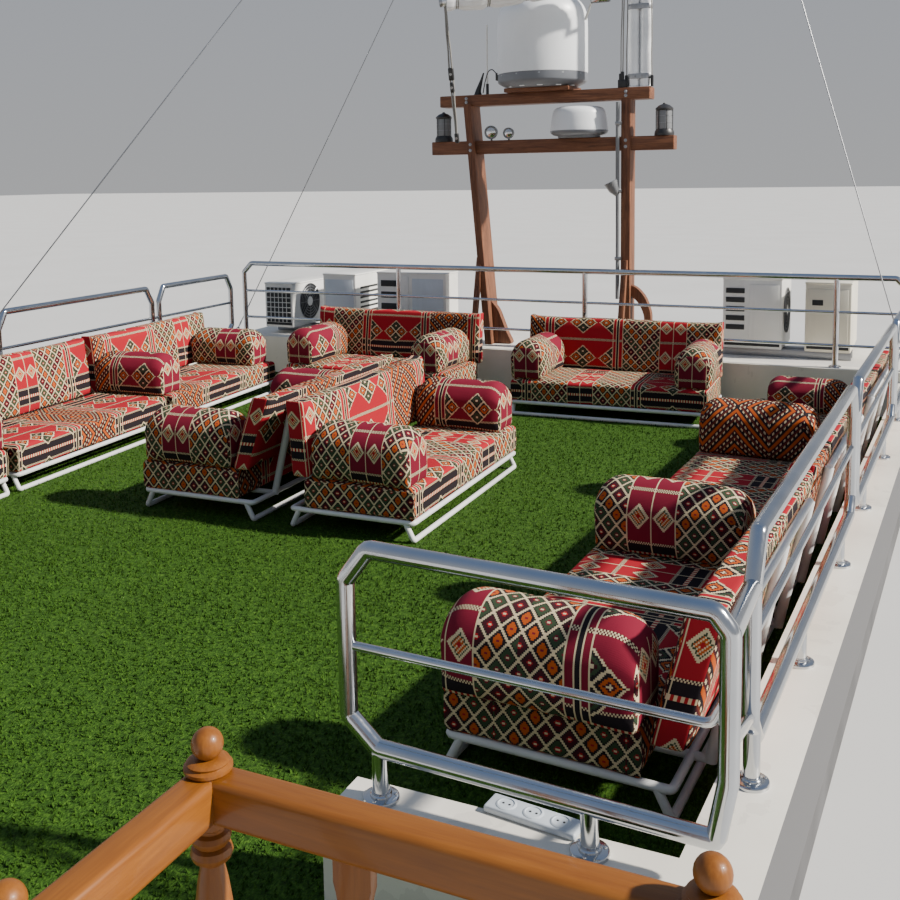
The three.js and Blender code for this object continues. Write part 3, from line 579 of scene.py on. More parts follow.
class Shape:
    """Gathers closed bodies into one mesh."""

    def __init__(self):
        self.verts, self.faces, self.slots = [], [], []

    def add(self, verts, faces, slot=0, matrix=None):
        start = len(self.verts)
        for v in verts:
            self.verts.append(matrix @ Vector(v) if matrix else Vector(v))
        self.faces.extend([i + start for i in face] for face in faces)
        self.slots.extend([slot] * len(faces))

    def tube(self, points, radius, sides=14, closed=False, slot=0, radii=None):
        """A round tube along a path; radii may give its radius at each point."""
        path = [Vector(p) for p in points]
        count = len(path)
        verts, side = [], None
        for i, point in enumerate(path):
            if closed:
                along = path[(i + 1) % count] - path[i - 1]
            else:
                along = path[min(i + 1, count - 1)] - path[max(i - 1, 0)]
            along.normalize()
            if side is None:
                side = along.orthogonal().normalized()
                if closed:
                    middle = sum(path, Vector()) / count
                    side = along.cross(middle - point).normalized()
            side = (side - along * side.dot(along)).normalized()
            up = along.cross(side)
            for across, rise, _ in circle(radii[i] if radii else radius, sides):
                verts.append(point + side * across + up * rise)
        faces = skin(count, sides, closed)
        if not closed:
            faces.append(tuple(range(sides))[::-1])
            faces.append(tuple((count - 1) * sides + k for k in range(sides)))
        self.add(verts, faces, slot)

    def lathe(self, profile, at=(0, 0, 0), sides=24, slot=0, matrix=None):
        verts, faces, rings = [], [], []
        for r, z in profile:
            if r < 1e-6:
                rings.append([len(verts)] * sides)
                verts.append((0, 0, z))
            else:
                rings.append(list(range(len(verts), len(verts) + sides)))
                verts.extend(circle(r, sides, (0, 0, z)))
        for a, b in zip(rings, rings[1:]):
            for k in range(sides):
                n = (k + 1) % sides
                faces.append(list(dict.fromkeys((a[k], a[n], b[n], b[k]))))
        for ring in (rings[0], rings[-1]):
            if len(set(ring)) > 1:
                faces.append(ring)
        move = Matrix.Translation(at)
        self.add(verts, faces, slot, move @ matrix if matrix else move)

    def take(self, mesh, slot, matrix):
        mesh.verts.index_update()
        self.add([v.co.copy() for v in mesh.verts], [[v.index for v in f.verts] for f in mesh.faces],
                 slot, matrix)
        mesh.free()

    def block(self, low, high, bevel=0.003, slot=0, matrix=None, steps=2):
        made = bmesh.new()
        bmesh.ops.create_cube(made, size=1)
        low, high = Vector(low), Vector(high)
        size, middle = high - low, (low + high) / 2
        for v in made.verts:
            v.co = Vector(c * s for c, s in zip(v.co, size)) + middle
        if bevel:
            bmesh.ops.bevel(made, geom=list(made.edges), offset=bevel, segments=steps,
                            affect="EDGES", profile=0.5)
        self.take(made, slot, matrix)

    def board(self, outline, low, high, axis="Y", bevel=0.002, slot=0, matrix=None):
        """A flat board: its outline is drawn across the axis that it is thick along."""
        at = {"X": lambda a, b, t: (t, a, b), "Y": lambda a, b, t: (a, t, b),
              "Z": lambda a, b, t: (a, b, t)}[axis]
        made = bmesh.new()
        rings = [[made.verts.new(at(a, b, t)) for a, b in outline] for t in (low, high)]
        made.faces.new(rings[0])
        made.faces.new(rings[1][::-1])
        for i in range(len(outline)):
            j = (i + 1) % len(outline)
            made.faces.new((rings[0][i], rings[0][j], rings[1][j], rings[1][i]))
        if bevel:
            rims = [e for e in made.edges if all(v in rings[0] for v in e.verts)
                    or all(v in rings[1] for v in e.verts)]
            bmesh.ops.bevel(made, geom=rims, offset=bevel, segments=2, affect="EDGES", profile=0.5)
        self.take(made, slot, matrix)

    def make(self, name, materials, body=DECK, slot=None, replaces=(), smooth=40):
        mesh = bpy.data.meshes.new(name)
        mesh.from_pydata(self.verts, [], self.faces)
        mesh.polygons.foreach_set("material_index", self.slots)
        face_out(mesh)
        mesh.shade_smooth()
        mesh.set_sharp_from_angle(angle=math.radians(smooth))
        for material in materials:
            mesh.materials.append(material)
        piece = add_object(name, mesh)
        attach(piece, body)
        if replaces:
            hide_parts(*replaces)


def finish_node(name, material, bevel=0.0):
    """Gives a CAD node that stays its material and softer edges."""
    node = nodes[name]
    node.data.materials.clear()
    node.data.materials.append(material)
    if bevel:
        modifier = node.modifiers.new("edges", "BEVEL")
        modifier.width = bevel
        modifier.segments = 2
        modifier.limit_method = "ANGLE"
        modifier.angle_limit = math.radians(40)


finish_node("deck_slab", planks, 0.006)
finish_node("turf", turf_green, 0.004)
finish_node("forward_roof", white_paint, 0.010)
for name in ("coaming_port", "coaming_starboard", "coaming_forward"):
    finish_node(name, coaming_paint_and_shade, 0.012)


# Rails

TUBE = 0.025
ROD = 0.0125
# Corners of a rail's frame: how far each is cut along and up
CUT = {"top": (0.075, 0.130), "low": (0.060, 0.075)}
RAIL = {"low": 0.530, "mid": 0.830, "top": 1.105}
FORE = {"y": 3.44, "low": 0.670, "mid": 0.940, "top": 1.220, "end": 3.13, "corner": 0.09}
PANEL = {"low": 0.524, "mid": 0.806, "top": 1.075}
PANEL_RISE = {"low": 0.032, "mid": 0.021, "top": 0.025}
PANEL_CUTS = {"top": (0.069, 0.092), "low": (0.087, 0.075), "end_top": (0.036, 0.045),
              "end_low": (0.027, 0.150)}
PANEL_PORT, PANEL_END = 1.911, 2.913
NO_RISE = {"low": 0, "mid": 0, "top": 0}
WELD = 0.010


def add_foot(shape, x, y, base, top):
    shape.lathe([(0, 0), (0.050, 0), (0.050, 0.008), (0.0485, 0.011), (0.045, 0.0125),
                 (0.0300, 0.0135), (0.0295, 0.018), (0.0262, 0.021), (0.0262, 0.024), (0, 0.024)],
                (x, y, base), 28)
    shape.tube([(x, y, base + 0.01), (x, y, top)], TUBE * 0.94, 20)
    for k in range(3):
        a = k * math.tau / 3 + 0.5
        shape.lathe([(0, 0), (0.006, 0), (0.005, 0.003), (0, 0.004)],
                    (x + 0.038 * math.cos(a), y + 0.038 * math.sin(a), base + 0.0125), 10)


def add_rail_frame(shape, a, b, low, mid, top, cuts, mid_end=None, rise=NO_RISE):
    a, b = Vector((*a, 0)), Vector((*b, 0))
    length = (b - a).length

    def at(s, z):
        p = a.lerp(b, s / length)
        return Vector((p.x, p.y, z))

    def rising(s, z, key):
        return at(s, z + rise[key] * (1 - s / length))

    high, foot = cuts["top"], cuts["low"]
    end_high, end_foot = cuts.get("end_top", high), cuts.get("end_low", foot)
    loop = [rising(foot[0], low, "low"), rising(length - end_foot[0], low, "low"),
            at(length, low + end_foot[1]), at(length, top - end_high[1]),
            rising(length - end_high[0], top, "top"), rising(high[0], top, "top"),
            at(0, top + rise["top"] - high[1]), at(0, low + rise["low"] + foot[1])]
    shape.tube(bends(loop, WELD, 2, True), TUBE, 20, True)
    if mid_end:
        path = [rising(0.01, mid, "mid"), at(mid_end[0], mid), at(length - 0.005, mid_end[1])]
        shape.tube(bends(path, 0.02), ROD, 14)
    else:
        shape.tube([at(0.01, mid), at(length - 0.01, mid)], ROD, 14)


def rail_point(side, y):
    return rail_x(side, y), y


def side_rail(shape, side, sections):
    for i, (aft, fore, feet) in enumerate(sections):
        a, b = rail_point(side, aft), rail_point(side, fore)
        add_rail_frame(shape, a, b, **RAIL, cuts=CUT)
        for y in feet:
            rise = CUT["low"][1] * max(0, 1 - (y - aft) / CUT["low"][0])
            add_foot(shape, rail_x(side, y), y, COAMING_TOP, RAIL["low"] + rise)
        if i:
            before = rail_point(side, sections[i - 1][1])
            shape.tube([(*before, RAIL["mid"]), (*a, RAIL["mid"])], ROD, 12)


def build_rails():
    starboard = Shape()
    end = (PANEL_END, STAIR_Y)
    add_rail_frame(starboard, (PANEL_PORT, STAIR_Y), end, **PANEL, cuts=PANEL_CUTS,
                   mid_end=(2.872 - PANEL_PORT, 0.880), rise=PANEL_RISE)
    for x in (2.004, 2.583):
        share = (PANEL_END - x) / (PANEL_END - PANEL_PORT)
        add_foot(starboard, x, STAIR_Y, COAMING_TOP, PANEL["low"] + PANEL_RISE["low"] * share)
    sections = [(-2.735, -0.53, (-2.707, -1.914, -0.91)), (-0.43, 1.56, (-0.066, 0.965)),
                (1.66, 3.27, (2.0, 2.93))]
    near = rail_point(1, sections[0][0])
    starboard.tube([(*end, 1.03), (*near, 0.975)], TUBE, 20)
    starboard.tube([(*end, 0.76), (*near, 0.612)], 0.015, 14)
    side_rail(starboard, 1, sections)
    starboard.make("rails_starboard", [polished], slot="stainless_rail", replaces=["rail_starboard"],
                   smooth=26)

    port = Shape()
    aft_y, aft_port, aft_end = -4.63, -2.707, 1.24
    add_rail_frame(port, (aft_port, aft_y), (aft_end, aft_y), **RAIL, cuts=CUT)
    for x in (-2.6, -1.5, -0.5, 0.4, 1.05):
        add_foot(port, x, aft_y, COAMING_TOP, RAIL["low"])
    sections = [(-4.48, -2.19, (-4.29, -3.33, -2.38)), (-2.09, 0.10, (-1.9, -0.99, -0.09)),
                (0.20, 2.01, (0.4, 1.82)), (2.11, 3.27, (2.3, 3.09))]
    corner = rail_point(-1, sections[0][0])
    port.tube([(aft_port, aft_y, RAIL["mid"]), (*corner, RAIL["mid"])], ROD, 12)
    side_rail(port, -1, sections)
    port.make("rails_port", [polished], slot="stainless_rail", replaces=["rail_port"], smooth=26)

    fore = Shape()
    y, end, top, low, mid = FORE["y"], FORE["end"], FORE["top"], FORE["low"], FORE["mid"]
    corner = FORE["corner"]
    hoop = [(-end, y, low), (-end, y, top - corner), (-end + corner, y, top),
            (end - corner, y, top), (end, y, top - corner), (end, y, low)]
    fore.tube(bends(hoop, WELD, 2), TUBE, 20)
    for z in (mid, low):
        fore.tube([(-end, y, z), (end, y, z)], ROD, 14)
    for x in (-end, end):
        add_foot(fore, x, y, FORE_TOP, mid)
    for x in (-1.35, 0.5, 2.6):
        add_foot(fore, x, y, FORE_TOP, top)
    fore.make("rails_forward", [polished], slot="stainless_rail", replaces=["rail_forward"], smooth=26)


build_rails()


# Balustrade round the stair landing

CORNER, STARBOARD_END, AFT_END = (2.23, -4.165), (3.06, -4.165), (2.23, -4.585)
HANDRAIL_LOW, HANDRAIL_HIGH = 1.008, 1.086
BALL_MIDDLE = 1.022
NEWEL = [(0, 0), (0.038, 0), (0.038, 0.20), (0.033, 0.215), (0.037, 0.225), (0.037, 0.240),
         (0.024, 0.265), (0.027, 0.31), (0.035, 0.39), (0.042, 0.48), (0.045, 0.56), (0.042, 0.64),
         (0.034, 0.72), (0.026, 0.78), (0.0195, 0.812), (0.022, 0.817), (0.033, 0.823),
         (0.036, 0.832), (0.033, 0.842), (0.027, 0.846), (0.032, 0.852), (0.034, 0.860),
         (0.031, 0.868), (0.025, 0.872), (0.026, 0.878), (0.036, 0.886), (0.037, 0.895),
         (0.037, 0.975), (0.041, 0.980), (0.041, 0.985), (0.034, 0.989), (0.036, 0.993),
         (0.030, 0.997), (0.020, 0.9985)]


SLAT_FOOT, SLAT_SPACING, SLAT_THICK = 0.21, 0.28, 0.022
# One edge of a slat: how far it reaches from the middle and how high above the slat's foot
SLAT = [(0.035, 0), (0.035, 0.08), (0.020, 0.13), (0.033, 0.27), (0.016, 0.40), (0.016, 0.44),
        (0.033, 0.57), (0.020, 0.70), (0.035, 0.75), (0.035, 0.82)]


def ball(radius, middle, start=-60, steps=12):
    angles = [math.radians(start + (90 - start) * k / steps) for k in range(steps)]
    return [(radius * math.cos(a), middle + radius * math.sin(a)) for a in angles] + [(0, middle + radius)]


def add_handrail(shape, a, b):
    along_x = a[1] == b[1]

    def span(half, low, high, bevel):
        reach = (0, half) if along_x else (half, 0)
        least = [min(p, q) - r for p, q, r in zip(a, b, reach)]
        most = [max(p, q) + r for p, q, r in zip(a, b, reach)]
        shape.block((*least, low), (*most, high), bevel, 0 if along_x else 1, steps=4)

    span(0.032, HANDRAIL_LOW, HANDRAIL_HIGH, 0.013)
    span(0.026, 0.190, 0.235, 0.006)
    length = abs(b[0] - a[0]) + abs(b[1] - a[1])
    slats = round(length / SLAT_SPACING) - 1
    for i in range(1, slats + 1):
        s = i * length / (slats + 1)
        centre, middle = (a[0] + s, a[1]) if along_x else (a[1] - s, a[0])
        outline = [(centre - reach, SLAT_FOOT + rise) for reach, rise in SLAT]
        outline += [(centre + reach, SLAT_FOOT + rise) for reach, rise in SLAT[::-1]]
        shape.board(outline, middle - SLAT_THICK / 2, middle + SLAT_THICK / 2, "Y" if along_x else "X",
                    0.003, 2)


def build_balustrade():
    shape = Shape()
    for x, y in (CORNER, STARBOARD_END, AFT_END):
        shape.lathe(NEWEL + ball(0.027, BALL_MIDDLE), (x, y, 0.1103), 32, 2)
    add_handrail(shape, CORNER, STARBOARD_END)
    add_handrail(shape, CORNER, AFT_END)
    shape.make("balustrade_turned", [teak_x, teak_y, teak_z], slot="varnished_teak",
               replaces=["balustrade"], smooth=32)


build_balustrade()


# Sofas

SOFA_LENGTH, SOFA_DEPTH, SOFA_SPACING = 1.62, 0.70, 1.65
SEAT_LOW, SEAT_HIGH = 0.125, 0.290
ARM_WIDE, ARM_HIGH, ARM_ROUND, ARM_FRONT = 0.290, 0.610, 0.125, 0.040
BACK_THICK = 0.115
BACK_TALL = 0.466
BACK_TO_BACK = 1.81
PIPE = 0.015
FRAME_FRONT, FRAME_REAR = 0.025, 0.775
UPRIGHT, UPRIGHT_TOP, UPRIGHT_INBOARD, LEG_SPLAY = 0.021, 0.640, 0.220, 0.048
# Backs: where the foot stands, lower and upper edge, lean, and what is added at the port end
BACK = {"foot": 0.758, "low": 0.262, "high": 0.728, "lean": 0.050, "longer": 0.0}
STARBOARD_BACK = {"low": 0.230, "high": 0.710, "lean": 0.120}
BACKS = {
    "starboard_aft": STARBOARD_BACK, "starboard_middle": STARBOARD_BACK,
    "starboard_forward": STARBOARD_BACK,
    "centre_starboard": {"foot": 0.702, "low": 0.291, "lean": 0.040},
    "centre_port": {"foot": 0.702, "low": 0.291, "lean": 0.150},
    "bow_port": {"longer": 0.090}, "bow_starboard": {"longer": 0.075},
}


def sofa_matrix(row, step, turned):
    front, facing = ROWS[row]
    shift = placed((0, BACK_TO_BACK, 0), 180) if turned else placed((step * SOFA_SPACING, 0, 0))
    return placed((*front, TURF_TOP + GAP), facing) @ shift


def add_sofa_frame(shape, matrix, back):
    side = SOFA_LENGTH / 2 - 0.035
    stand = side - UPRIGHT_INBOARD
    level, floor = SEAT_LOW - PIPE - 0.001, PIPE
    behind = BACK_THICK / 2 + UPRIGHT + 0.003
    up_foot = back["foot"] + behind - 0.004
    up_head = back["foot"] + behind + back["lean"] * UPRIGHT_TOP / back["high"]

    def tube(points, radius=PIPE, round_off=0.02, closed=False):
        path = bends(points, round_off, 3, closed)
        shape.tube([matrix @ p for p in path], radius, 14, closed)

    tube([(-side, FRAME_FRONT, level), (side, FRAME_FRONT, level), (side, FRAME_REAR, level),
          (-side, FRAME_REAR, level)], closed=True)
    for y, inboard in ((FRAME_FRONT, 1), (FRAME_REAR, -1)):
        top = y + inboard * LEG_SPLAY
        tube([(-side, top, level), (-side, y, floor), (side, y, floor), (side, top, level)],
             round_off=0.012)
    for s in (-stand, 0, stand):
        tube([(s, FRAME_FRONT, level), (s, up_foot, level)])
        tube([(s, up_foot, level - 0.005), (s, up_head, UPRIGHT_TOP)], UPRIGHT)
    tube([(-stand, up_head, UPRIGHT_TOP), (stand, up_head, UPRIGHT_TOP)])


def box_surface(divisions, at):
    """A closed grid over a box. at(a, b, c) gives the point for box shares from 0 to 1.
    Returns vertices, faces, and for each face its side and the box shares of its corners."""
    na, nb, nc = divisions
    index, verts, faces, sides = {}, [], [], []

    def vertex(i, j, k):
        key = (i, j, k)
        if key not in index:
            index[key] = len(verts)
            verts.append(at(i / na, j / nb, k / nc))
        return index[key]

    def quad(side, corners):
        faces.append([vertex(*c) for c in corners])
        sides.append((side, [(i / na, j / nb, k / nc) for i, j, k in corners]))

    for i in range(na):
        for j in range(nb):
            quad("low", [(i, j, 0), (i, j + 1, 0), (i + 1, j + 1, 0), (i + 1, j, 0)])
            quad("high", [(i, j, nc), (i + 1, j, nc), (i + 1, j + 1, nc), (i, j + 1, nc)])
    for i in range(na):
        for k in range(nc):
            quad("near", [(i, 0, k), (i + 1, 0, k), (i + 1, 0, k + 1), (i, 0, k + 1)])
            quad("far", [(i, nb, k), (i, nb, k + 1), (i + 1, nb, k + 1), (i + 1, nb, k)])
    for j in range(nb):
        for k in range(nc):
            quad("start", [(0, j, k), (0, j, k + 1), (0, j + 1, k + 1), (0, j + 1, k)])
            quad("end", [(na, j, k), (na, j + 1, k), (na, j + 1, k + 1), (na, j, k + 1)])
    return np.array(verts, float), faces, sides


LAST_FRAME = 20


def inflate(name, verts, faces, pressure, cap):
    """Swells a closed mesh like a stuffed cover, moving no point further than cap."""
    mesh = bpy.data.meshes.new(name)
    mesh.from_pydata([tuple(v) for v in verts], [], faces)
    face_out(mesh)
    trial = add_object(name, mesh)
    scene = bpy.context.scene
    cloth = trial.modifiers.new("cloth", "CLOTH")
    settings = cloth.settings
    settings.quality = 6
    settings.mass = 0.3
    settings.tension_stiffness = settings.compression_stiffness = 12
    settings.bending_stiffness = 2.5
    settings.use_pressure = True
    settings.uniform_pressure_force = pressure
    settings.effector_weights.gravity = 0
    cloth.collision_settings.use_collision = False
    cloth.point_cache.frame_start = 1
    cloth.point_cache.frame_end = LAST_FRAME
    for number in range(1, LAST_FRAME + 1):
        scene.frame_set(number)
    shown = trial.evaluated_get(bpy.context.evaluated_depsgraph_get())
    swollen = np.array([v.co for v in shown.data.vertices], float)
    scene.frame_set(1)
    bpy.data.objects.remove(trial)
    move = swollen - verts
    far = np.linalg.norm(move, axis=1, keepdims=True)
    return verts + move * np.minimum(1, cap / np.maximum(far, 1e-9))


def ease(t, inset):
    """Box share that gathers grid lines near both edges."""
    return inset * (0.5 - 0.5 * math.cos(math.pi * t)) + (1 - inset) * t


def seat_point(a, b, c):
    half, deep = SOFA_LENGTH / 2 - 0.006, SOFA_DEPTH - 0.014
    x = -half + 2 * half * ease(a, 0.5)
    y = 0.006 + deep * ease(b, 0.5)
    z = SEAT_LOW + 0.004 + (SEAT_HIGH - SEAT_LOW - 0.010) * ease(c, 0.3)
    return x, y, z


def back_point(a, b, c):
    """An upright cushion standing at zero, its thickness about zero."""
    half = SOFA_LENGTH / 2 - 0.006
    x = -half + 2 * half * ease(a, 0.5)
    z = 0.004 + (BACK_TALL - 0.008) * ease(c, 0.4)
    return x, (BACK_THICK - 0.016) * (ease(b, 0.3) - 0.5), z


def arm_outline(a, c):
    """The loaf's section: a runs across and c up, both from 0 to 1."""
    half = ARM_WIDE / 2 - 0.006
    low, high = SEAT_HIGH + 0.006, ARM_HIGH - 0.004
    spring = high - ARM_ROUND
    across = -math.cos(math.pi * a)
    top = spring + ARM_ROUND * math.sqrt(max(0.0, 1 - across * across * 0.96))
    flat = -1 + 2 * a
    mixed = across * c + flat * (1 - c)
    reach = 1 - 0.05 * (1 - c) ** 4
    return half * mixed * reach, low + (top - low) * c


ARM_DEEP = 0.692 - ARM_FRONT
END_ROUND = 0.10


def arm_point(a, b, c):
    x, z = arm_outline(a, ease(c, 0.2))
    along = ease(b, 0.5)
    near_end = max(0.0, 1 - min(along, 1 - along) * ARM_DEEP / END_ROUND)
    z -= (z - SEAT_HIGH - 0.006) * 0.17 * near_end ** 2.4
    return x * (1 - 0.06 * near_end ** 2), ARM_FRONT + 0.004 + (ARM_DEEP - 0.010) * along, z


def section_lengths(points):
    steps = np.linalg.norm(np.diff(points, axis=0), axis=1)
    return np.concatenate([[0], np.cumsum(steps)])


SEAT_GRID, BACK_GRID, ARM_GRID = (38, 18, 5), (38, 4, 15), (12, 26, 8)


def soft_base(name, grid, point, pressure, cap):
    verts, faces, sides = box_surface(grid, point)
    verts = inflate(name, verts, faces, pressure, cap)
    return verts, faces, sides


seat_base = soft_base("seat_trial", SEAT_GRID, seat_point, 4.0, 0.016)
back_base = soft_base("back_trial", BACK_GRID, back_point, 4.0, 0.016)
arm_base = soft_base("arm_trial", ARM_GRID, arm_point, 4.0, 0.012)


def seat_cloth(side, share, plan):
    """Cloth coordinates of a seat: across the front, over the top and down behind."""
    x, y, z = seat_point(*share)
    tall, deep = SEAT_HIGH - SEAT_LOW, SOFA_DEPTH
    if side in ("start", "end"):
        return plan["end_u"] + (y if side == "end" else -y), plan["end_v"] + z - SEAT_LOW
    v = {"near": z - SEAT_LOW, "high": tall + y, "far": 2 * tall + deep - z + SEAT_LOW,
         "low": -y}[side]
    return plan["u"] + x, plan["v"] + v


def back_cloth(side, share, plan):
    x, depth, z = back_point(*share)
    if side in ("start", "end"):
        return plan["end_u"] + depth, plan["end_v"] + z - BACK_TALL
    v = {"near": z - BACK_TALL, "high": depth + BACK_THICK / 2,
         "far": BACK_THICK + BACK_TALL - z, "low": -BACK_TALL - depth}[side]
    return plan["u"] + x, plan["v"] + v


ARC_STEPS = 48
ARC = section_lengths(np.array([arm_outline(a / ARC_STEPS, 1.0) for a in range(ARC_STEPS + 1)]))


def arm_cloth(side, share, plan):
    """Cloth coordinates of an arm: u along its depth, v from the middle of its top."""
    x, y, z = arm_point(*share)
    if side in ("near", "far"):
        return plan["end_u"] + x, plan["end_v"] + z - ARM_HIGH
    top = ARC[-1] / 2
    arc = float(np.interp(share[0] * ARC_STEPS, np.arange(ARC_STEPS + 1), ARC)) - top
    edge = arm_outline(0.0, 1.0)[1]
    s = {"high": arc, "start": -top - (edge - z), "end": top + (edge - z),
         "low": top + (edge - SEAT_HIGH) + (ARM_WIDE / 2 - x)}[side]
    return plan["u"] + y, plan["v"] + plan["turn"] * s


def add_cushion(name, base, cloth, plan, matrix, node, seed, material, lumps, fit=Vector):
    verts, faces, sides = base
    moved = []
    for v in verts:
        p = Vector(v)
        shake = noise.noise_vector(p * 3.1 + Vector((seed * 7.3, seed * 3.7, seed)))
        crease = noise.noise(p * 17 + Vector((seed, 0, seed * 2.2)))
        q = p + shake * lumps
        q.z += crease * lumps * 0.3
        moved.append(matrix @ fit(q))
    mesh = bpy.data.meshes.new(name)
    mesh.from_pydata(moved, [], faces)
    layer = mesh.uv_layers.new(name="cloth")
    corners = [(side, share) for side, shares in sides for share in shares]
    for corner, (side, share) in zip(layer.data, corners):
        corner.uv = cloth(side, share, plan)
    mesh.shade_smooth()
    mesh.materials.append(material)
    piece = add_object(name, mesh)
    modifier = piece.modifiers.new("fine", "SUBSURF")
    modifier.levels = 1
    modifier.render_levels = 1
    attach(piece, DECK)
    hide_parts(node)


def columns(n):
    return n * CELL_WIDE


def rows(n):
    return n * CELL_HIGH


# Where the cloth is cut for each cushion. u is the band at the middle of a seat or back, or at
# the front of an arm; v is the row at a seat's lower front edge, a back's top or an arm's top.
SEAT_V = rows(36)
# Sofas: row, step along it, turned about, seat's band, back's band, row at the back's top
SOFAS = [
    ("port_aft", "port", -1, False, 234, 120, -6),
    ("port_middle", "port", 0, False, 234, -19, -6),
    ("port_forward", "port", 1, False, 337, 392, -6),
    ("starboard_forward", "starboard", -1, False, 0, 30, -20),
    ("starboard_middle", "starboard", 0, False, 50, 120, -20),
    ("starboard_aft", "starboard", 1, False, 82, 60, -20),
    ("centre_starboard", "centre", 0, False, 410, 150, -36),
    ("centre_port", "centre", 0, True, 100, 200, -20),
    ("bow_port", "bow_port", 0, False, 60, 139, -8),
    ("bow_starboard", "bow_starboard", 0, False, 40, 391, -31),
]
# Rows: middle of the first sofa's front and the way it faces
ROWS = {
    "port": ((-1.930, 0.030), 94.3),
    "starboard": ((1.995, -0.090), -92.9),
    "centre": ((0.850, 0.120), 91),
    "bow_port": ((-1.160, 2.360), 0),
    "bow_starboard": ((0.990, 2.400), 2),
}
# Arms: band at the front, side that shows, then reach past the sofa's end, front and top where
# they aren't 0, 0.04 and 0.61
ARMS = {
    "port_aft_left": (-57, -1), "port_aft_right": (102, -1),
    "port_forward_left": (102, -1, 0.06, 0.06), "port_forward_right": (-57, -1, -0.06, 0.06),
    "starboard_forward_left": (102, 1, -0.137, 0.18, 0.52),
    "starboard_forward_right": (-300, 1, 0.12),
    "starboard_aft_left": (-57, 1, 0.045), "starboard_aft_right": (-12, 1, 0.07),
    "centre_starboard_left": (-57, -1), "centre_starboard_right": (102, -1),
    "centre_port_left": (102, 1), "centre_port_right": (-57, 1),
    "bow_port_left": (102, 1), "bow_port_right": (-57, 1, -0.085),
    "bow_starboard_left": (21, 1), "bow_starboard_right": (21, -1),
}
ARM_LINE = 14
DARK_ARM = "starboard_forward_right"


def arm_plan(band, face, out=0, front=0.04, top=0.61):
    cloth = {"u": columns(band), "v": rows(-ARM_LINE), "turn": face, "end_u": 0, "end_v": rows(40)}
    return cloth, out, front, top


def fit_back(back):
    """Stretches, leans and sets back the upright cushion."""
    half = SOFA_LENGTH / 2

    def fit(p):
        share = p.z / BACK_TALL
        x = p.x - back["longer"] * (half - p.x) / SOFA_LENGTH
        return Vector((x, back["foot"] + back["lean"] * share + p.y,
                       back["low"] + (back["high"] - back["low"]) * share))

    return fit


def fit_arm(front, end, top):
    def fit(p):
        y = front + (p.y - ARM_FRONT) * (end - front) / ARM_DEEP
        z = SEAT_HIGH + (p.z - SEAT_HIGH) * (top - SEAT_HIGH) / (ARM_HIGH - SEAT_HIGH)
        return Vector((p.x, y, z))

    return fit


def build_sofas():
    frames = {name: Shape() for name in ROWS}
    for number, (name, row, step, turned, seat_u, back_u, back_line) in enumerate(SOFAS):
        matrix = sofa_matrix(row, step, turned)
        back = {**BACK, **BACKS.get(name, {})}
        add_sofa_frame(frames[row], matrix, back)
        seat = {"u": columns(seat_u), "v": SEAT_V, "end_u": columns(LATTICE_FROM + 168),
                "end_v": rows(2 * number)}
        add_cushion(f"seat_cushion_{name}", seat_base, seat_cloth, seat, matrix, f"seat_{name}",
                    number + 1, sadu_red, 0.004)
        plan = {"u": columns(back_u), "v": rows(-back_line), "end_u": columns(8), "end_v": 0}
        add_cushion(f"back_cushion_{name}", back_base, back_cloth, plan, matrix, f"back_{name}",
                    number + 31, sadu_red, 0.006, fit_back(back))
        for end, sign in (("left", -1), ("right", 1)):
            key = f"{name}_{end}"
            if key in ARMS:
                arm, out, front, top = arm_plan(*ARMS[key])
                place = matrix @ placed((sign * ((SOFA_LENGTH - ARM_WIDE) / 2 + out), 0, 0))
                rear = min(SOFA_DEPTH, back["foot"] - BACK_THICK / 2) - 0.008
                add_cushion(f"arm_bolster_{key}", arm_base, arm_cloth, arm, place, f"arm_{key}",
                            number * 2 + sign + 60, kilim if key == DARK_ARM else sadu, 0.005,
                            fit_arm(front, rear, top))
    for name, shape in frames.items():
        shape.make(f"pipe_frame_{name}", [pipe_paint], slot="white_pipe",
                   replaces=[f"sofa_frame_{name}"])


build_sofas()


# Gantry over the bow end

MAST_X, DOME_X, RADAR_X = 0.881, -0.030, 0.320
# Beams: port and starboard ends, lower and upper faces, half depth. Posts: X of the foot and of
# the head, width and depth
BEAMS = {"lower": (-1.140, 1.200, 2.275, 2.400, 0.065), "upper": (-1.035, 0.990, 2.722, 2.827, 0.090)}
POSTS = {"port": (-0.550, -0.745, 0.070, 0.250), "starboard": (0.776, 0.776, 0.085, 0.180)}
LANTERN_XS = (-1.038, 1.100)


def aim(a, b):
    """Puts the z axis on the line from a to b."""
    turn = (Vector(b) - Vector(a)).to_track_quat("Z", "Y").to_matrix().to_4x4()
    return Matrix.Translation(a) @ turn


def add_bolt(shape, at, toward, radius=0.011, slot=0):
    a = Vector(at)
    shape.lathe([(0, 0), (radius * 1.5, 0), (radius * 1.5, 0.002), (radius, 0.0025),
                 (radius, 0.007), (radius * 0.8, 0.009), (0, 0.009)], slot=slot, sides=6,
                matrix=aim(a, a + Vector(toward)))


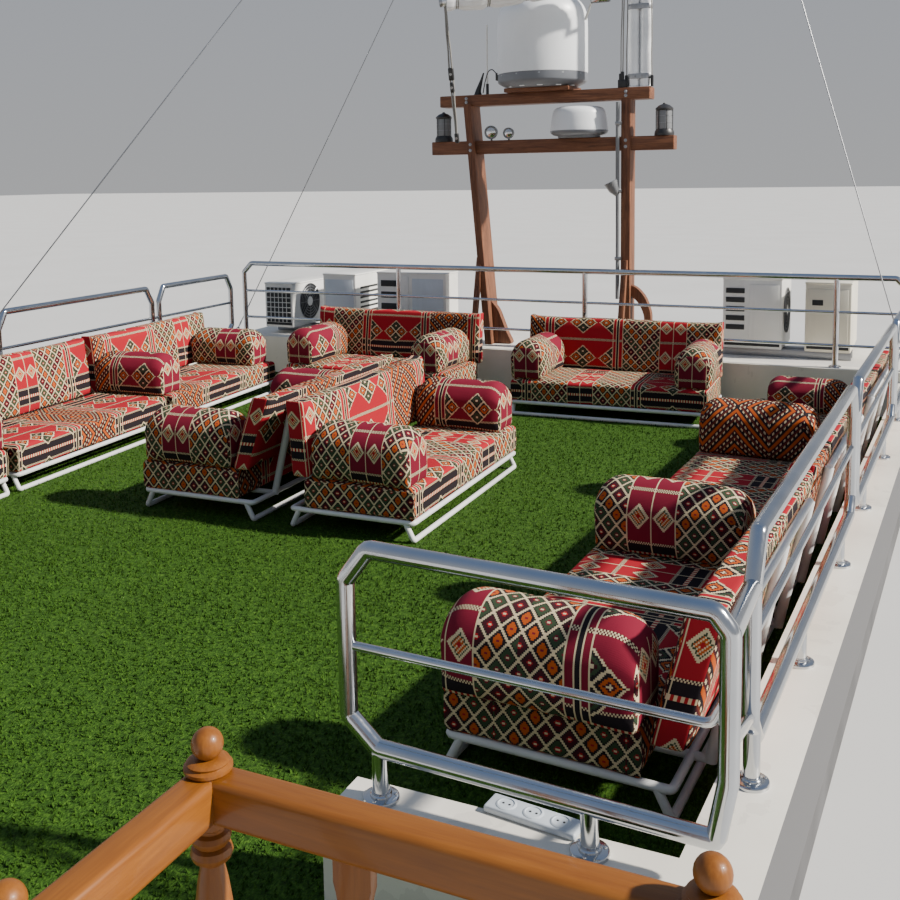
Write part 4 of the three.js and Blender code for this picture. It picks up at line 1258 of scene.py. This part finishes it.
def build_gantry():
    shape = Shape()
    foot = ROOF_TOP + GAP
    for bottom, head, wide, deep in POSTS.values():
        half = wide / 2
        outline = [(bottom - half, foot), (bottom + half, foot), (head + half, 2.742),
                   (head - half, 2.742)]
        shape.board(outline, GANTRY_Y - deep / 2, GANTRY_Y + deep / 2, "Y", 0.008, 1)
    for port, starboard, low, high, deep in BEAMS.values():
        shape.block((port, GANTRY_Y - deep, low), (starboard, GANTRY_Y + deep, high), 0.008, 0)
    for x in (-0.640, POSTS["starboard"][0]):
        outline = [(3.535, foot), (3.585, foot), (3.785, 1.3), (3.735, 1.3)]
        shape.board(outline, x - 0.025, x + 0.025, "X", 0.005, 1)
    port_knee = [(-0.54, foot), (-0.33, foot), (-0.385, 0.56), (-0.48, 0.80), (-0.56, 0.89),
                 (-0.59, 0.89)]
    starboard_knee = [(1.0, foot), (1.0, 0.82), (0.95, 0.96), (0.88, 1.04), (0.805, 1.08),
                      (0.805, 0.975), (0.86, 0.94), (0.90, 0.89), (0.94, 0.80), (0.94, foot)]
    for outline in (port_knee, starboard_knee):
        curve = bends([(x, 0, z) for x, z in outline], 0.045, 3, True)
        shape.board([(p.x, p.z) for p in curve], GANTRY_Y - 0.038, GANTRY_Y + 0.038, "Y", 0.004, 1)
    shape.block((DOME_X - 0.31, GANTRY_Y - 0.19, 2.826), (DOME_X + 0.31, GANTRY_Y + 0.19, 2.8625),
                0.004, 0)
    for bottom, head, wide, deep in POSTS.values():
        for beam, x in (("lower", bottom + (head - bottom) * 0.82), ("upper", head)):
            low, high, reach = BEAMS[beam][2:]
            y = GANTRY_Y - max(reach, deep / 2) - 0.0005
            for z in (low + 0.035, high - 0.035):
                add_bolt(shape, (x, y, z), (0, -1, 0), slot=2)
    shape.make("gantry_timbers", [oiled_x, oiled_z, wire_steel], slot="gantry_wood",
               replaces=["gantry"])

    lamps = Shape()
    z = BEAMS["lower"][3]
    for x in LANTERN_XS:
        at = (x, GANTRY_Y, z)
        lamps.lathe([(0, 0), (0.085, 0), (0.087, 0.010), (0.084, 0.034), (0.072, 0.056),
                     (0.060, 0.060), (0, 0.060)], at, 28, 0)
        lamps.lathe([(0, 0.055), (0.066, 0.055), (0.068, 0.062), (0.068, 0.215), (0.066, 0.222),
                     (0, 0.222)], at, 28, 1)
        lamps.lathe([(0, 0.218), (0.074, 0.218), (0.078, 0.224), (0.078, 0.236), (0.070, 0.244),
                     (0.048, 0.262), (0.022, 0.272), (0.014, 0.276), (0.012, 0.283), (0, 0.285)],
                    at, 28, 0)
        for bar_x, bar_y, _ in circle(0.074, 6, at):
            lamps.tube([(bar_x, bar_y, z + h) for h in (0.050, 0.14, 0.226)], 0.0035, 8, slot=0)
        for h in (0.11, 0.17):
            lamps.tube(circle(0.0685, 24, (x, GANTRY_Y, z + h)), 0.0022, 6, True, 2)
    lamps.make("lanterns", [black_plastic, lamp_grey, wire_steel], slot="gantry_wood",
               replaces=["gantry"])


def round_top(radius, low, high, squareness, steps=14):
    """The shoulder of a dome from its side at low to its middle at high."""
    made = []
    for k in range(steps + 1):
        a = k / steps * math.pi / 2
        made.append((radius * math.cos(a) ** squareness,
                     low + (high - low) * math.sin(a) ** squareness))
    return made[:-1] + [(0, high)]


def build_domes():
    dome = Shape()
    at = (DOME_X, GANTRY_Y, 2.863)
    dome.lathe([(0, 0), (0.300, 0), (0.318, 0.004), (0.365, 0.022), (0.398, 0.040),
                (0.410, 0.052), (0.412, 0.062), (0.412, 0.124), (0.409, 0.127), (0, 0.127)], at, 72, 1)
    dome.lathe([(0, 0.124), (0.409, 0.124), (0.413, 0.128), (0.414, 0.136), (0.4135, 0.30)]
               + round_top(0.413, 0.50, 0.839, 0.62), at, 72, 0)
    dome.tube(circle(0.4105, 72, (DOME_X, GANTRY_Y, at[2] + 0.139)), 0.0035, 6, True, 0)
    for k in range(12):
        turn = placed(at, (k + 0.5) * 30)
        dome.block((0.292, -0.026, 0.003), (0.333, 0.026, 0.020), 0.004, 0, turn)
        dome.block((0.398, -0.010, 0.100), (0.412, 0.010, 0.116), 0.002, 2, turn)
    dome.make("satellite_dome_shell", [dome_white, dome_grey, wire_steel], slot="dome_white",
              replaces=["satellite_dome"], smooth=35)

    radar = Shape()
    at = (RADAR_X, GANTRY_Y, 2.401)
    radar.lathe([(0, 0), (0.188, 0), (0.192, 0.004), (0.196, 0.022), (0, 0.026)], at, 56, 1)
    radar.lathe([(0, 0.020), (0.205, 0.020), (0.236, 0.027), (0.256, 0.040), (0.264, 0.056),
                 (0.2645, 0.062), (0.262, 0.066), (0, 0.066)], at, 56, 1)
    radar.lathe([(0, 0.064), (0.262, 0.064), (0.2625, 0.072), (0.258, 0.11), (0.250, 0.17),
                 (0.243, 0.215), (0.233, 0.245), (0.212, 0.266), (0.18, 0.277), (0.10, 0.284),
                 (0, 0.285)], at, 56, 0)
    radar.make("radar_dome_shell", [dome_white, dome_grey], slot="dome_white",
               replaces=["radar_dome"], smooth=35)


build_gantry()
build_domes()


# Mast and stays

MAST_FOOT, MAST_TOP = 2.8273, 7.600
BANDS = (2.90, 3.50, 4.60, 5.70, 6.80)
MAST_APART, MAST_RADIUS = 0.054, 0.052
PIVOT_Y = 3.700
BOOM_INNER, BOOM_OUTER, BOOM_LENGTH = 3.790, 3.545, 1.700
BOOM_ANGLE = math.radians(208)
LUG_Z = BOOM_INNER - 0.075


def stadium(half, radius, steps=12):
    points = []
    for side in (1, -1):
        for k in range(steps + 1):
            a = math.pi * k / steps - math.pi / 2
            points.append((side * (half + radius * math.cos(a)), side * radius * math.sin(a)))
    return points


def build_mast():
    mast = Shape()
    for side in (-1, 1):
        mast.lathe([(0, 0), (MAST_RADIUS + 0.008, 0), (MAST_RADIUS + 0.008, 0.010),
                    (MAST_RADIUS, 0.014), (MAST_RADIUS, MAST_TOP - MAST_FOOT), (0, MAST_TOP - MAST_FOOT)],
                   (MAST_X + side * MAST_APART, GANTRY_Y, MAST_FOOT), 40, 0)
    for z in BANDS:
        outline = [(MAST_X + x, GANTRY_Y + y) for x, y in stadium(MAST_APART, MAST_RADIUS + 0.004)]
        mast.board(outline, z, z + 0.045, "Z", 0.002, 1)
        for side in (-1, 1):
            add_bolt(mast, (MAST_X + side * 0.03, GANTRY_Y - MAST_RADIUS - 0.0035, z + 0.022),
                     (0, -1, 0), 0.006, 1)
    outline = [(MAST_X + x, GANTRY_Y + y) for x, y in stadium(MAST_APART, MAST_RADIUS + 0.007)]
    mast.board(outline, MAST_TOP - 0.01, MAST_TOP + 0.015, "Z", 0.003, 1)
    mast.block((MAST_X - 0.022, PIVOT_Y - 0.022, LUG_Z), (MAST_X + 0.022, GANTRY_Y - 0.01, LUG_Z + 0.018),
               0.004, 1)
    mast.lathe([(0, 0), (0.009, 0), (0.009, 0.140), (0.007, 0.143), (0, 0.145)],
               (MAST_X, PIVOT_Y, LUG_Z + 0.003), 20, 1)
    mast.make("mast_tubes", [spar_metal, wire_steel], slot="spar", replaces=["mast"])

    lines = Shape()
    for n, (dx, dy, radius) in enumerate(((-0.150, -0.030, 0.006), (-0.172, -0.018, 0.005),
                                          (-0.126, 0.010, 0.005), (0.118, -0.045, 0.005))):
        top = (MAST_X + dx * 0.5, GANTRY_Y + dy, 7.59)
        foot = (MAST_X + dx, GANTRY_Y + dy, 2.95 - n * 0.015)
        points = [Vector(foot).lerp(Vector(top), k / 40) for k in range(41)]
        lines.tube([p + Vector((0.002 * math.sin(k * 1.3 + n), 0.002 * math.cos(k * 1.7), 0))
                    for k, p in enumerate(points)], radius, 8, slot=0)
        lines.block((MAST_X + dx - 0.012, GANTRY_Y + dy - 0.016, 2.90 - n * 0.015),
                    (MAST_X + dx + 0.012, GANTRY_Y + dy + 0.016, 2.97 - n * 0.015), 0.005, 1)
    lines.block((MAST_X - 0.19, GANTRY_Y - 0.05, MAST_FOOT), (MAST_X - 0.11, GANTRY_Y + 0.03, 2.90),
                0.006, 1)
    lines.block((MAST_X + 0.108, GANTRY_Y - 0.06, MAST_FOOT), (MAST_X + 0.129, GANTRY_Y - 0.03, 2.90),
                0.003, 1)
    lines.make("halyards", [rope_grey, black_plastic], slot="spar", replaces=["mast"])


# Stays: side, place fore and aft, top of what carries it, inset from the deck's edge
STAYS = [(-1, -0.480, COAMING_TOP, 0.008), (-1, 3.495, FORE_TOP, 0.008), (1, 2.500, COAMING_TOP, 0.016)]


def build_stays():
    shape = Shape()
    head = MAST_TOP + 0.0153
    shape.lathe([(0, 0), (0.162, 0), (0.165, 0.003), (0.165, 0.011), (0.162, 0.014), (0, 0.014)],
                (MAST_X, GANTRY_Y, head), 48, 1)
    for side, y, base, inset in STAYS:
        x = side * (half_width(y) - inset)
        away = Vector((x - MAST_X, y - GANTRY_Y, 0)).normalized() * 0.135
        top = Vector((MAST_X + away.x, GANTRY_Y + away.y, head + 0.006))
        foot = Vector((x, y, base + 0.04))
        line = (top - foot).normalized()
        shape.tube([foot + line * 0.30, top], 0.0045, 10, slot=0)
        shape.lathe([(0, 0.005), (0.0065, 0.005), (0.0065, 0.045), (0.0085, 0.05), (0.0085, 0.085),
                     (0.0055, 0.09), (0.0055, 0.205), (0.0085, 0.21), (0.0085, 0.245), (0.006, 0.25),
                     (0.006, 0.33), (0, 0.332)], slot=1, sides=14, matrix=aim(foot, top))
        plate = x - side * 0.006
        for across, along, tall in ((0.005, 0.019, 0.055), (0.014, 0.020, 0.008)):
            shape.block((plate - across, y - along, base + GAP), (plate + across, y + along, base + tall),
                        0.002, 1)
        shape.tube([(x - 0.016, y, base + 0.042), (x + 0.010, y, base + 0.042)], 0.006, 12, slot=1)
    shape.make("stay_wires", [wire_steel, polished], slot="stay_wire", replaces=["main_stays"])


build_mast()
build_stays()


# Boom and furled sail, which swing on the mast's pin


def boom_point(s, across=0.0, rise=0.0):
    return Vector((MAST_X + s * math.cos(BOOM_ANGLE) - across * math.sin(BOOM_ANGLE),
                   PIVOT_Y + s * math.sin(BOOM_ANGLE) + across * math.cos(BOOM_ANGLE),
                   BOOM_INNER + s / BOOM_LENGTH * (BOOM_OUTER - BOOM_INNER) + rise))


# The furled cloth: distance along the boom, then reach to the sides, upward and downward
SAIL_REACH = [(0.150, 0.055, 0.060, 0.060), (0.400, 0.088, 0.095, 0.100), (0.900, 0.100, 0.110, 0.118),
              (1.350, 0.092, 0.100, 0.112), (1.640, 0.062, 0.060, 0.085)]
TIES = (0.30, 0.62, 0.95, 1.28, 1.55)


def sail_ring(s, count):
    """One section of the furled cloth: folds round it, drawn in at each tie."""
    reach = [float(np.interp(s, [row[0] for row in SAIL_REACH], [row[i] for row in SAIL_REACH]))
             for i in (1, 2, 3)]
    tied = min(abs(s - tie) for tie in TIES)
    snug = 1 - 0.20 * math.exp(-((tied / 0.035) ** 2))
    ring = []
    for k in range(count):
        a = math.tau * k / count
        folds = 0.06 * math.sin(5 * a + 3.1 * s) + 0.035 * math.sin(9 * a - 7 * s + 1)
        folds += 0.05 * noise.noise(Vector((3 * math.cos(a), 3 * math.sin(a), s * 7)))
        size = min(1.0, (0.93 + folds)) * snug
        rise = reach[1] if math.sin(a) > 0 else reach[2]
        ring.append(boom_point(s, reach[0] * size * math.cos(a), rise * size * math.sin(a)))
    return ring


def build_boom():
    boom = Shape()
    boom.tube([boom_point(0.060), boom_point(BOOM_LENGTH - 0.01)], 0.0375, 28, slot=0)
    boom.tube([boom_point(BOOM_LENGTH - 0.02), boom_point(BOOM_LENGTH + 0.004)], 0.040, 28, slot=1)
    low, high = LUG_Z + 0.022, BOOM_INNER + 0.045
    sides = 28
    section = ((0.012, low), (0.024, low), (0.024, high), (0.012, high))
    verts = [point for radius, z in section for point in circle(radius, sides, (MAST_X, PIVOT_Y, z))]
    boom.add(verts, skin(len(section), sides, True), 1)
    boom.tube([boom_point(0.018), boom_point(0.080)], 0.014, 16, slot=1)
    for s in (0.10, 0.84, 1.62):
        boom.tube([boom_point(s, x, y) for x, y, _ in circle(0.041, 24)], 0.004, 8, True, 1)
    boom.make("boom_spar", [spar_metal, wire_steel], BOOM, "spar", ["boom"])

    count, places = 72, np.linspace(0.150, 1.640, 110)
    verts = [point for s in places for point in sail_ring(float(s), count)]
    faces = skin(len(places), count)
    last = (len(places) - 1) * count
    for start, at in ((0, 0.145), (last, 1.648)):
        middle = len(verts)
        verts.append(boom_point(at))
        for k in range(count):
            faces.append((start + k, start + (k + 1) % count, middle))
    sail = Shape()
    sail.add(verts, faces, 0)
    for s in TIES:
        for shift in (-0.008, 0.008):
            ring = [p.lerp(boom_point(s + shift), -0.01) for p in sail_ring(s + shift, 36)]
            sail.tube(ring, 0.005, 8, True, 1)
    sail.make("furled_sail_cloth", [sailcloth, rope_grey], BOOM, "sailcloth", ["furled_sail"], smooth=60)

    tackle = Shape()
    top, foot = boom_point(1.655, 0, -0.03), Vector((-0.600, 3.180, 2.39))
    for shift in (-0.010, 0.010):
        path = [top.lerp(foot, k / 24) + Vector((shift * (1 - abs(k / 12 - 1)) + shift * 0.4,
                                                 0.004 * math.sin(k), 0)) for k in range(25)]
        tackle.tube(path, 0.008, 10, slot=0)
    for share, size in ((0.50, 1.0), (0.60, 0.8), (0.985, 0.8)):
        p = top.lerp(foot, share)
        turn = aim(p, p + (foot - top))
        tackle.block((-0.024 * size, -0.016, -0.055 * size), (0.024 * size, 0.016, 0.055 * size), 0.010, 1,
                     turn, 3)
        tackle.lathe([(0, -0.020), (0.012, -0.020), (0.012, 0.020), (0, 0.020)], slot=2, sides=14,
                     matrix=turn @ Matrix.Rotation(math.pi / 2, 4, "X"))
    tackle.make("boom_tackle", [rope_grey, black_plastic, wire_steel], BOOM, "spar", ["boom"])


build_boom()


# Condensers of the cooling plant

PAINT, DARK, BLUE, CREAM_CASE, METAL = range(5)
CASE_LOW = 0.540
RUNNERS = {"port": (-3.06, -1.03), "starboard": (1.62, 2.69)}
RUNNER_YS = (3.930, 4.080)
# Cases: group, port and starboard ends, aft and forward ends, top, paint, then the fan on the
# starboard face: how far along and up, and its radius
UNITS = [
    ("port", (-3.06, -2.71), (3.68, 4.44), 1.000, PAINT, (0.330, 0.52, 0.19)),
    ("port", (-2.42, -2.03), (3.80, 4.56), 1.100, PAINT, None),
    ("port", (-1.80, -1.03), (3.82, 4.13), 1.130, PAINT, None),
    ("starboard", (1.62, 2.13), (3.88, 4.50), 1.160, PAINT, (0.310, 0.5, 0.20)),
    ("starboard", (2.31, 2.69), (3.88, 4.64), 1.135, CREAM_CASE, None),
]
AFT_COIL, SIDE_LOUVRES = 0, 1
# Plates on each case's aft face: left, right, lower and upper edge, each from the case's far edge
# where negative, then bevel, paint and how far the plate stands out
PLATES = [
    [(0.03, -0.03, 0.05, -0.05, 0.002, DARK, 0.002)],
    [(0.03, -0.03, 0.06, -0.06, 0.004, BLUE, 0.002)],
    [(0.05, 0.27, 0.10 + k * 0.115, 0.162 + k * 0.115, 0.004, DARK, 0.002) for k in range(4)]
    + [(0.30, 0.36, 0.03, -0.04, 0.004, PAINT, 0.004), (0.40, -0.03, 0.06, -0.06, 0.004, BLUE, 0.002)],
    [(0.03, 0.19, 0.16 + k * 0.08, 0.205 + k * 0.08, 0.003, DARK, 0.002) for k in range(5)]
    + [(0.23, -0.03, 0.06, -0.06, 0.004, PAINT, 0.002)],
    [(0.03, -0.03, 0.06, -0.06, 0.004, CREAM_CASE, 0.002),
     (0.06, 0.15, -0.20, -0.15, 0.004, DARK, 0.004)],
]


def add_fan(shape, at, radius):
    """A round guard on a face that looks to starboard."""
    turn = placed(at, 90, "Y")
    shape.lathe([(0, -0.004), (radius, -0.004), (radius, 0.002), (0, 0.002)], slot=DARK, sides=40,
                matrix=turn)
    shape.lathe([(0, 0), (0.05, 0), (0.05, 0.006), (0.04, 0.008), (0, 0.008)], slot=PAINT, sides=24,
                matrix=turn)
    for r in np.linspace(0.075, radius, 5):
        shape.tube([turn @ Vector(p) for p in circle(r, 32, (0, 0, 0.005))], 0.003, 6, True, METAL)
    for inner, outer in zip(circle(0.045, 8, (0, 0, 0.006)), circle(radius, 8, (0, 0, 0.006))):
        shape.tube([turn @ Vector(inner), turn @ Vector(outer)], 0.003, 6, slot=METAL)


def add_grid(shape, x, y, z, bars, wire, slots):
    """Level and upright bars on a face that looks fore or aft; bars gives their places."""
    (x0, x1), (y_level, y_upright), (low, high) = x, y, z
    for place in bars[0]:
        shape.tube([(x0, y_level, place), (x1, y_level, place)], wire, 6, slot=slots[0])
    for place in bars[1]:
        shape.tube([(place, y_upright, low), (place, y_upright, high)], wire, 6, slot=slots[1])


def add_louvres(shape, x, y, heights, tall):
    for z in heights:
        shape.block((x, y[0], CASE_LOW + z), (x + 0.005, y[1], CASE_LOW + z + tall), 0.002, DARK)


def build_condensers():
    shapes = {name: Shape() for name in RUNNERS}
    for name, (x0, x1) in RUNNERS.items():
        for y in RUNNER_YS:
            shapes[name].block((x0, y - 0.019, ROOF_TOP + GAP), (x1, y + 0.019, CASE_LOW), 0.003, METAL)
    for number, (side, (x0, x1), (y0, y1), top, body, fan) in enumerate(UNITS):
        shape = shapes[side]
        shape.block((x0 + 0.004, y0 + 0.004, CASE_LOW - 0.004), (x1 - 0.004, y1 - 0.004, top - 0.014),
                    0.010, body, steps=3)
        shape.block((x0, y0, top - 0.020), (x1, y1, top), 0.008, body, steps=3)
        shape.block((x0 + 0.02, y0 - 0.001, CASE_LOW + 0.02), (x1 - 0.02, y0 + 0.006, CASE_LOW + 0.045),
                    0.003, DARK)
        x, z = (x0 + 0.05, x1 - 0.05), (CASE_LOW + 0.06, top - 0.07)
        shape.block((x[0], y1 - 0.010, z[0]), (x[1], y1 - 0.002, z[1]), 0.002, DARK)
        add_grid(shape, x, (y1 - 0.001, y1 + 0.001), z, (np.linspace(*z, 15)[1:-1], np.linspace(*x, 8)),
                 0.003, (METAL, PAINT))
        add_louvres(shape, x0 + 0.001, (y0 + 0.08, y1 - 0.08), [0.12 + k * 0.06 for k in range(4)], 0.024)
        for left, right, low, high, bevel, slot, proud in PLATES[number]:
            shape.block((x0 + left, y0 - proud, (CASE_LOW if low > 0 else top) + low),
                        ((x0 if right > 0 else x1) + right, y0 + 0.006,
                         (CASE_LOW if high > 0 else top) + high), bevel, slot)
        if number == AFT_COIL:
            x, z = (x0 + 0.03, x1 - 0.03), (CASE_LOW + 0.05, top - 0.05)
            bars = [low + np.arange(1, n) * (high - low) / n for (low, high), n in ((z, 7), (x, 6))]
            add_grid(shape, x, (y0 - 0.005, y0 - 0.003), z, bars, 0.004, (PAINT, PAINT))
        if fan:
            along, share, radius = fan
            add_fan(shape, (x1 - 0.003, y0 + along, CASE_LOW + (top - CASE_LOW) * share), radius)
        if number == SIDE_LOUVRES:
            add_louvres(shape, x1 - 0.006, (y0 + 0.10, y1 - 0.10), [0.10 + k * 0.05 for k in range(7)],
                        0.022)
    for name, shape in shapes.items():
        shape.make(f"condenser_cases_{name}", [case_paint, slot_dark, case_blue, case_cream, wire_steel],
                   slot="condenser_white", replaces=[f"condensers_{name}"])


build_condensers()


# Small fittings


SPOTLIGHTS = ((-0.525, 0.064), (-0.350, 0.052))
AERIAL_X = -0.580
HORN = [(-0.665, 2.826), (-0.660, 2.87), (-0.625, 2.97), (-0.605, 3.03)]
HORN_RADII = [0.038, 0.026, 0.012, 0.007]
FLOOD_FROM, FLOOD_TOWARD = (0.540, 3.745, 3.625), (0.540, 2.745, 3.425)
CLAMPS = (2.50, 1.90, 1.30)
SOCKETS_AT, SOCKET_STEP = (2.41, -3.098, COAMING_TOP + 0.0005), 0.078


def build_fittings():
    lamps = Shape()
    y, beam_top = GANTRY_Y - 0.045, BEAMS["lower"][3]
    for x, radius in SPOTLIGHTS:
        at = Vector((x, y, beam_top + radius + 0.012))
        turn = aim(at, at + Vector((0.05, -1, -0.12)))
        lamps.lathe([(0, -0.055), (radius * 0.45, -0.052), (radius * 0.85, -0.030), (radius, 0.004),
                     (radius, 0.020), (radius * 0.88, 0.024), (radius * 0.80, 0.018), (0, 0.016)],
                    slot=0, sides=28, matrix=turn)
        lamps.lathe([(0, 0.014), (radius * 0.82, 0.014), (radius * 0.5, 0.024), (0, 0.028)], slot=2,
                    sides=28, matrix=turn)
        lamps.tube([(x, y, beam_top - 0.002), (x, y, beam_top + 0.002 + radius * 0.3)], 0.009, 10, slot=1)
    lamps.make("deck_spotlights", [lamp_grey, black_plastic, polished], slot="spar", replaces=["gantry"])

    mast_kit = Shape()
    mast_kit.tube([(AERIAL_X, GANTRY_Y, 2.826), (AERIAL_X, GANTRY_Y, 2.93)], 0.014, 12, slot=1)
    mast_kit.tube([(AERIAL_X, GANTRY_Y, 2.92), (AERIAL_X + 0.002, GANTRY_Y, 3.47)], 0.008, 12, slot=0)
    mast_kit.tube([(x, GANTRY_Y - 0.03, z) for x, z in HORN], 0.01, 14, slot=1, radii=HORN_RADII)
    cable = [(-0.42, 3.72, 2.99), (-0.47, 3.70, 3.05), (-0.52, 3.72, 3.03), (-0.57, 3.76, 2.93),
             (-0.60, 3.79, 2.84)]
    mast_kit.tube(bends(cable, 0.05, 4), 0.005, 8, slot=1)
    mast_kit.block((-0.435, 3.69, 2.94), (-0.405, 3.74, 3.01), 0.006, 1)
    mast_kit.make("aerial_and_horn", [white_paint, black_plastic], slot="dome_white",
                  replaces=["gantry"])

    flood = Shape()
    turn = aim(FLOOD_FROM, FLOOD_TOWARD)
    flood.block((-0.085, -0.055, -0.050), (0.085, 0.055, 0.0), 0.006, 0, turn, 3)
    flood.block((-0.074, -0.044, -0.004), (0.074, 0.044, 0.003), 0.002, 1, turn)
    for k in range(7):
        x = -0.072 + k * 0.024
        flood.block((x - 0.003, -0.048, -0.064), (x + 0.003, 0.048, -0.046), 0.001, 0, turn)
    yoke = [(0.640, 3.800, 3.630), (0.640, 3.830, 3.700), (0.780, 3.848, 3.700)]
    flood.tube(bends(yoke, 0.03), 0.010, 12, slot=2)
    flood.tube([(0.610, 3.790, 3.630), (0.648, 3.802, 3.632)], 0.012, 12, slot=2)
    flood.tube([(0.470, 3.800, 3.640), (0.392, 3.800, 3.440)], 0.011, 12, slot=2)
    flood.make("mast_floodlight", [lamp_grey, polished, white_paint], slot="spar", replaces=["mast"])

    hose = Shape()
    line = [(0.712, 3.735, 2.70), (0.710, 3.735, 2.1), (0.714, 3.735, 1.5), (0.712, 3.735, 0.95)]
    hose.tube(bends(line, 0.2, 6), 0.017, 12, slot=0)
    for z in CLAMPS:
        hose.block((0.690, 3.715, z), (0.745, 3.765, z + 0.03), 0.004, 1)
    hose.tube([(0.655, 3.72, 2.00), (0.685, 3.73, 1.93), (0.71, 3.74, 1.88)], 0.02, 16, slot=0,
              radii=[0.066, 0.050, 0.020])
    hose.make("post_conduit", [lamp_grey, wire_steel], slot="gantry_wood", replaces=["gantry"])

    strip = Shape()
    turn = placed(SOCKETS_AT, -6)
    strip.block((-0.130, -0.034, 0), (0.130, 0.034, 0.020), 0.006, 0, turn, 3)
    for k in (-1, 0, 1):
        at = turn @ Matrix.Translation((k * SOCKET_STEP, 0, 0.020))
        strip.lathe([(0, -0.004), (0.028, -0.004), (0.028, 0.001), (0.025, 0.003), (0.022, 0.003),
                     (0.021, 0.0005), (0, 0.0005)], slot=0, sides=28, matrix=at)
        for dx in (-0.009, 0.009):
            strip.lathe([(0, 0), (0.0035, 0), (0.0035, 0.0012), (0, 0.0012)], slot=1, sides=10,
                        matrix=at @ Matrix.Translation((dx, 0, 0)))
    strip.make("socket_strip", [case_blue, slot_dark], slot="coaming_white")


build_fittings()


# Blades of the turf: thicker where the deck is seen from near

BLADES_EACH = 45000
BLADE_FOOT = TURF_TOP - 0.001
BLADE_AREAS = {"turf_blades_aft": (-4.5, -1.1), "turf_blades_bow": (-1.1, 3.3)}


def on_turf(x, y):
    inner = half_width(y) - 0.22
    if x < -inner or x > (2.13 if y < -4.08 else inner):
        return False
    return not (x > 1.875 and -0.14 < y - STAIR_Y < 0.085)


def build_blades():
    rng = np.random.default_rng(11)
    for name, (y_low, y_high) in BLADE_AREAS.items():
        verts, faces = [], []
        while len(verts) < 4 * BLADES_EACH:
            x, y = rng.uniform(-2.9, 3.1), rng.uniform(y_low, y_high)
            lean, facing, tall, wide = (rng.uniform(0.1, 0.55), rng.uniform(0, math.tau),
                                        rng.uniform(0.010, 0.020), rng.uniform(0.0028, 0.0052))
            if not on_turf(x, y):
                continue
            base = len(verts)
            for k in range(3):
                a, reach = facing + k * math.tau / 3, wide * (1.0 if k else 1.6)
                verts.append((x + reach * math.cos(a), y + reach * math.sin(a), BLADE_FOOT))
            reach, a = lean * tall * 1.4, facing + 2
            verts.append((x + reach * math.cos(a), y + reach * math.sin(a), BLADE_FOOT + tall))
            faces.extend(((base, base + 2, base + 1), (base, base + 1, base + 3),
                          (base + 1, base + 2, base + 3), (base + 2, base, base + 3)))
        mesh = bpy.data.meshes.new(name)
        mesh.from_pydata(verts, [], faces)
        mesh.materials.append(turf_blade)
        piece = add_object(name, mesh)
        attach(piece, DECK)


build_blades()
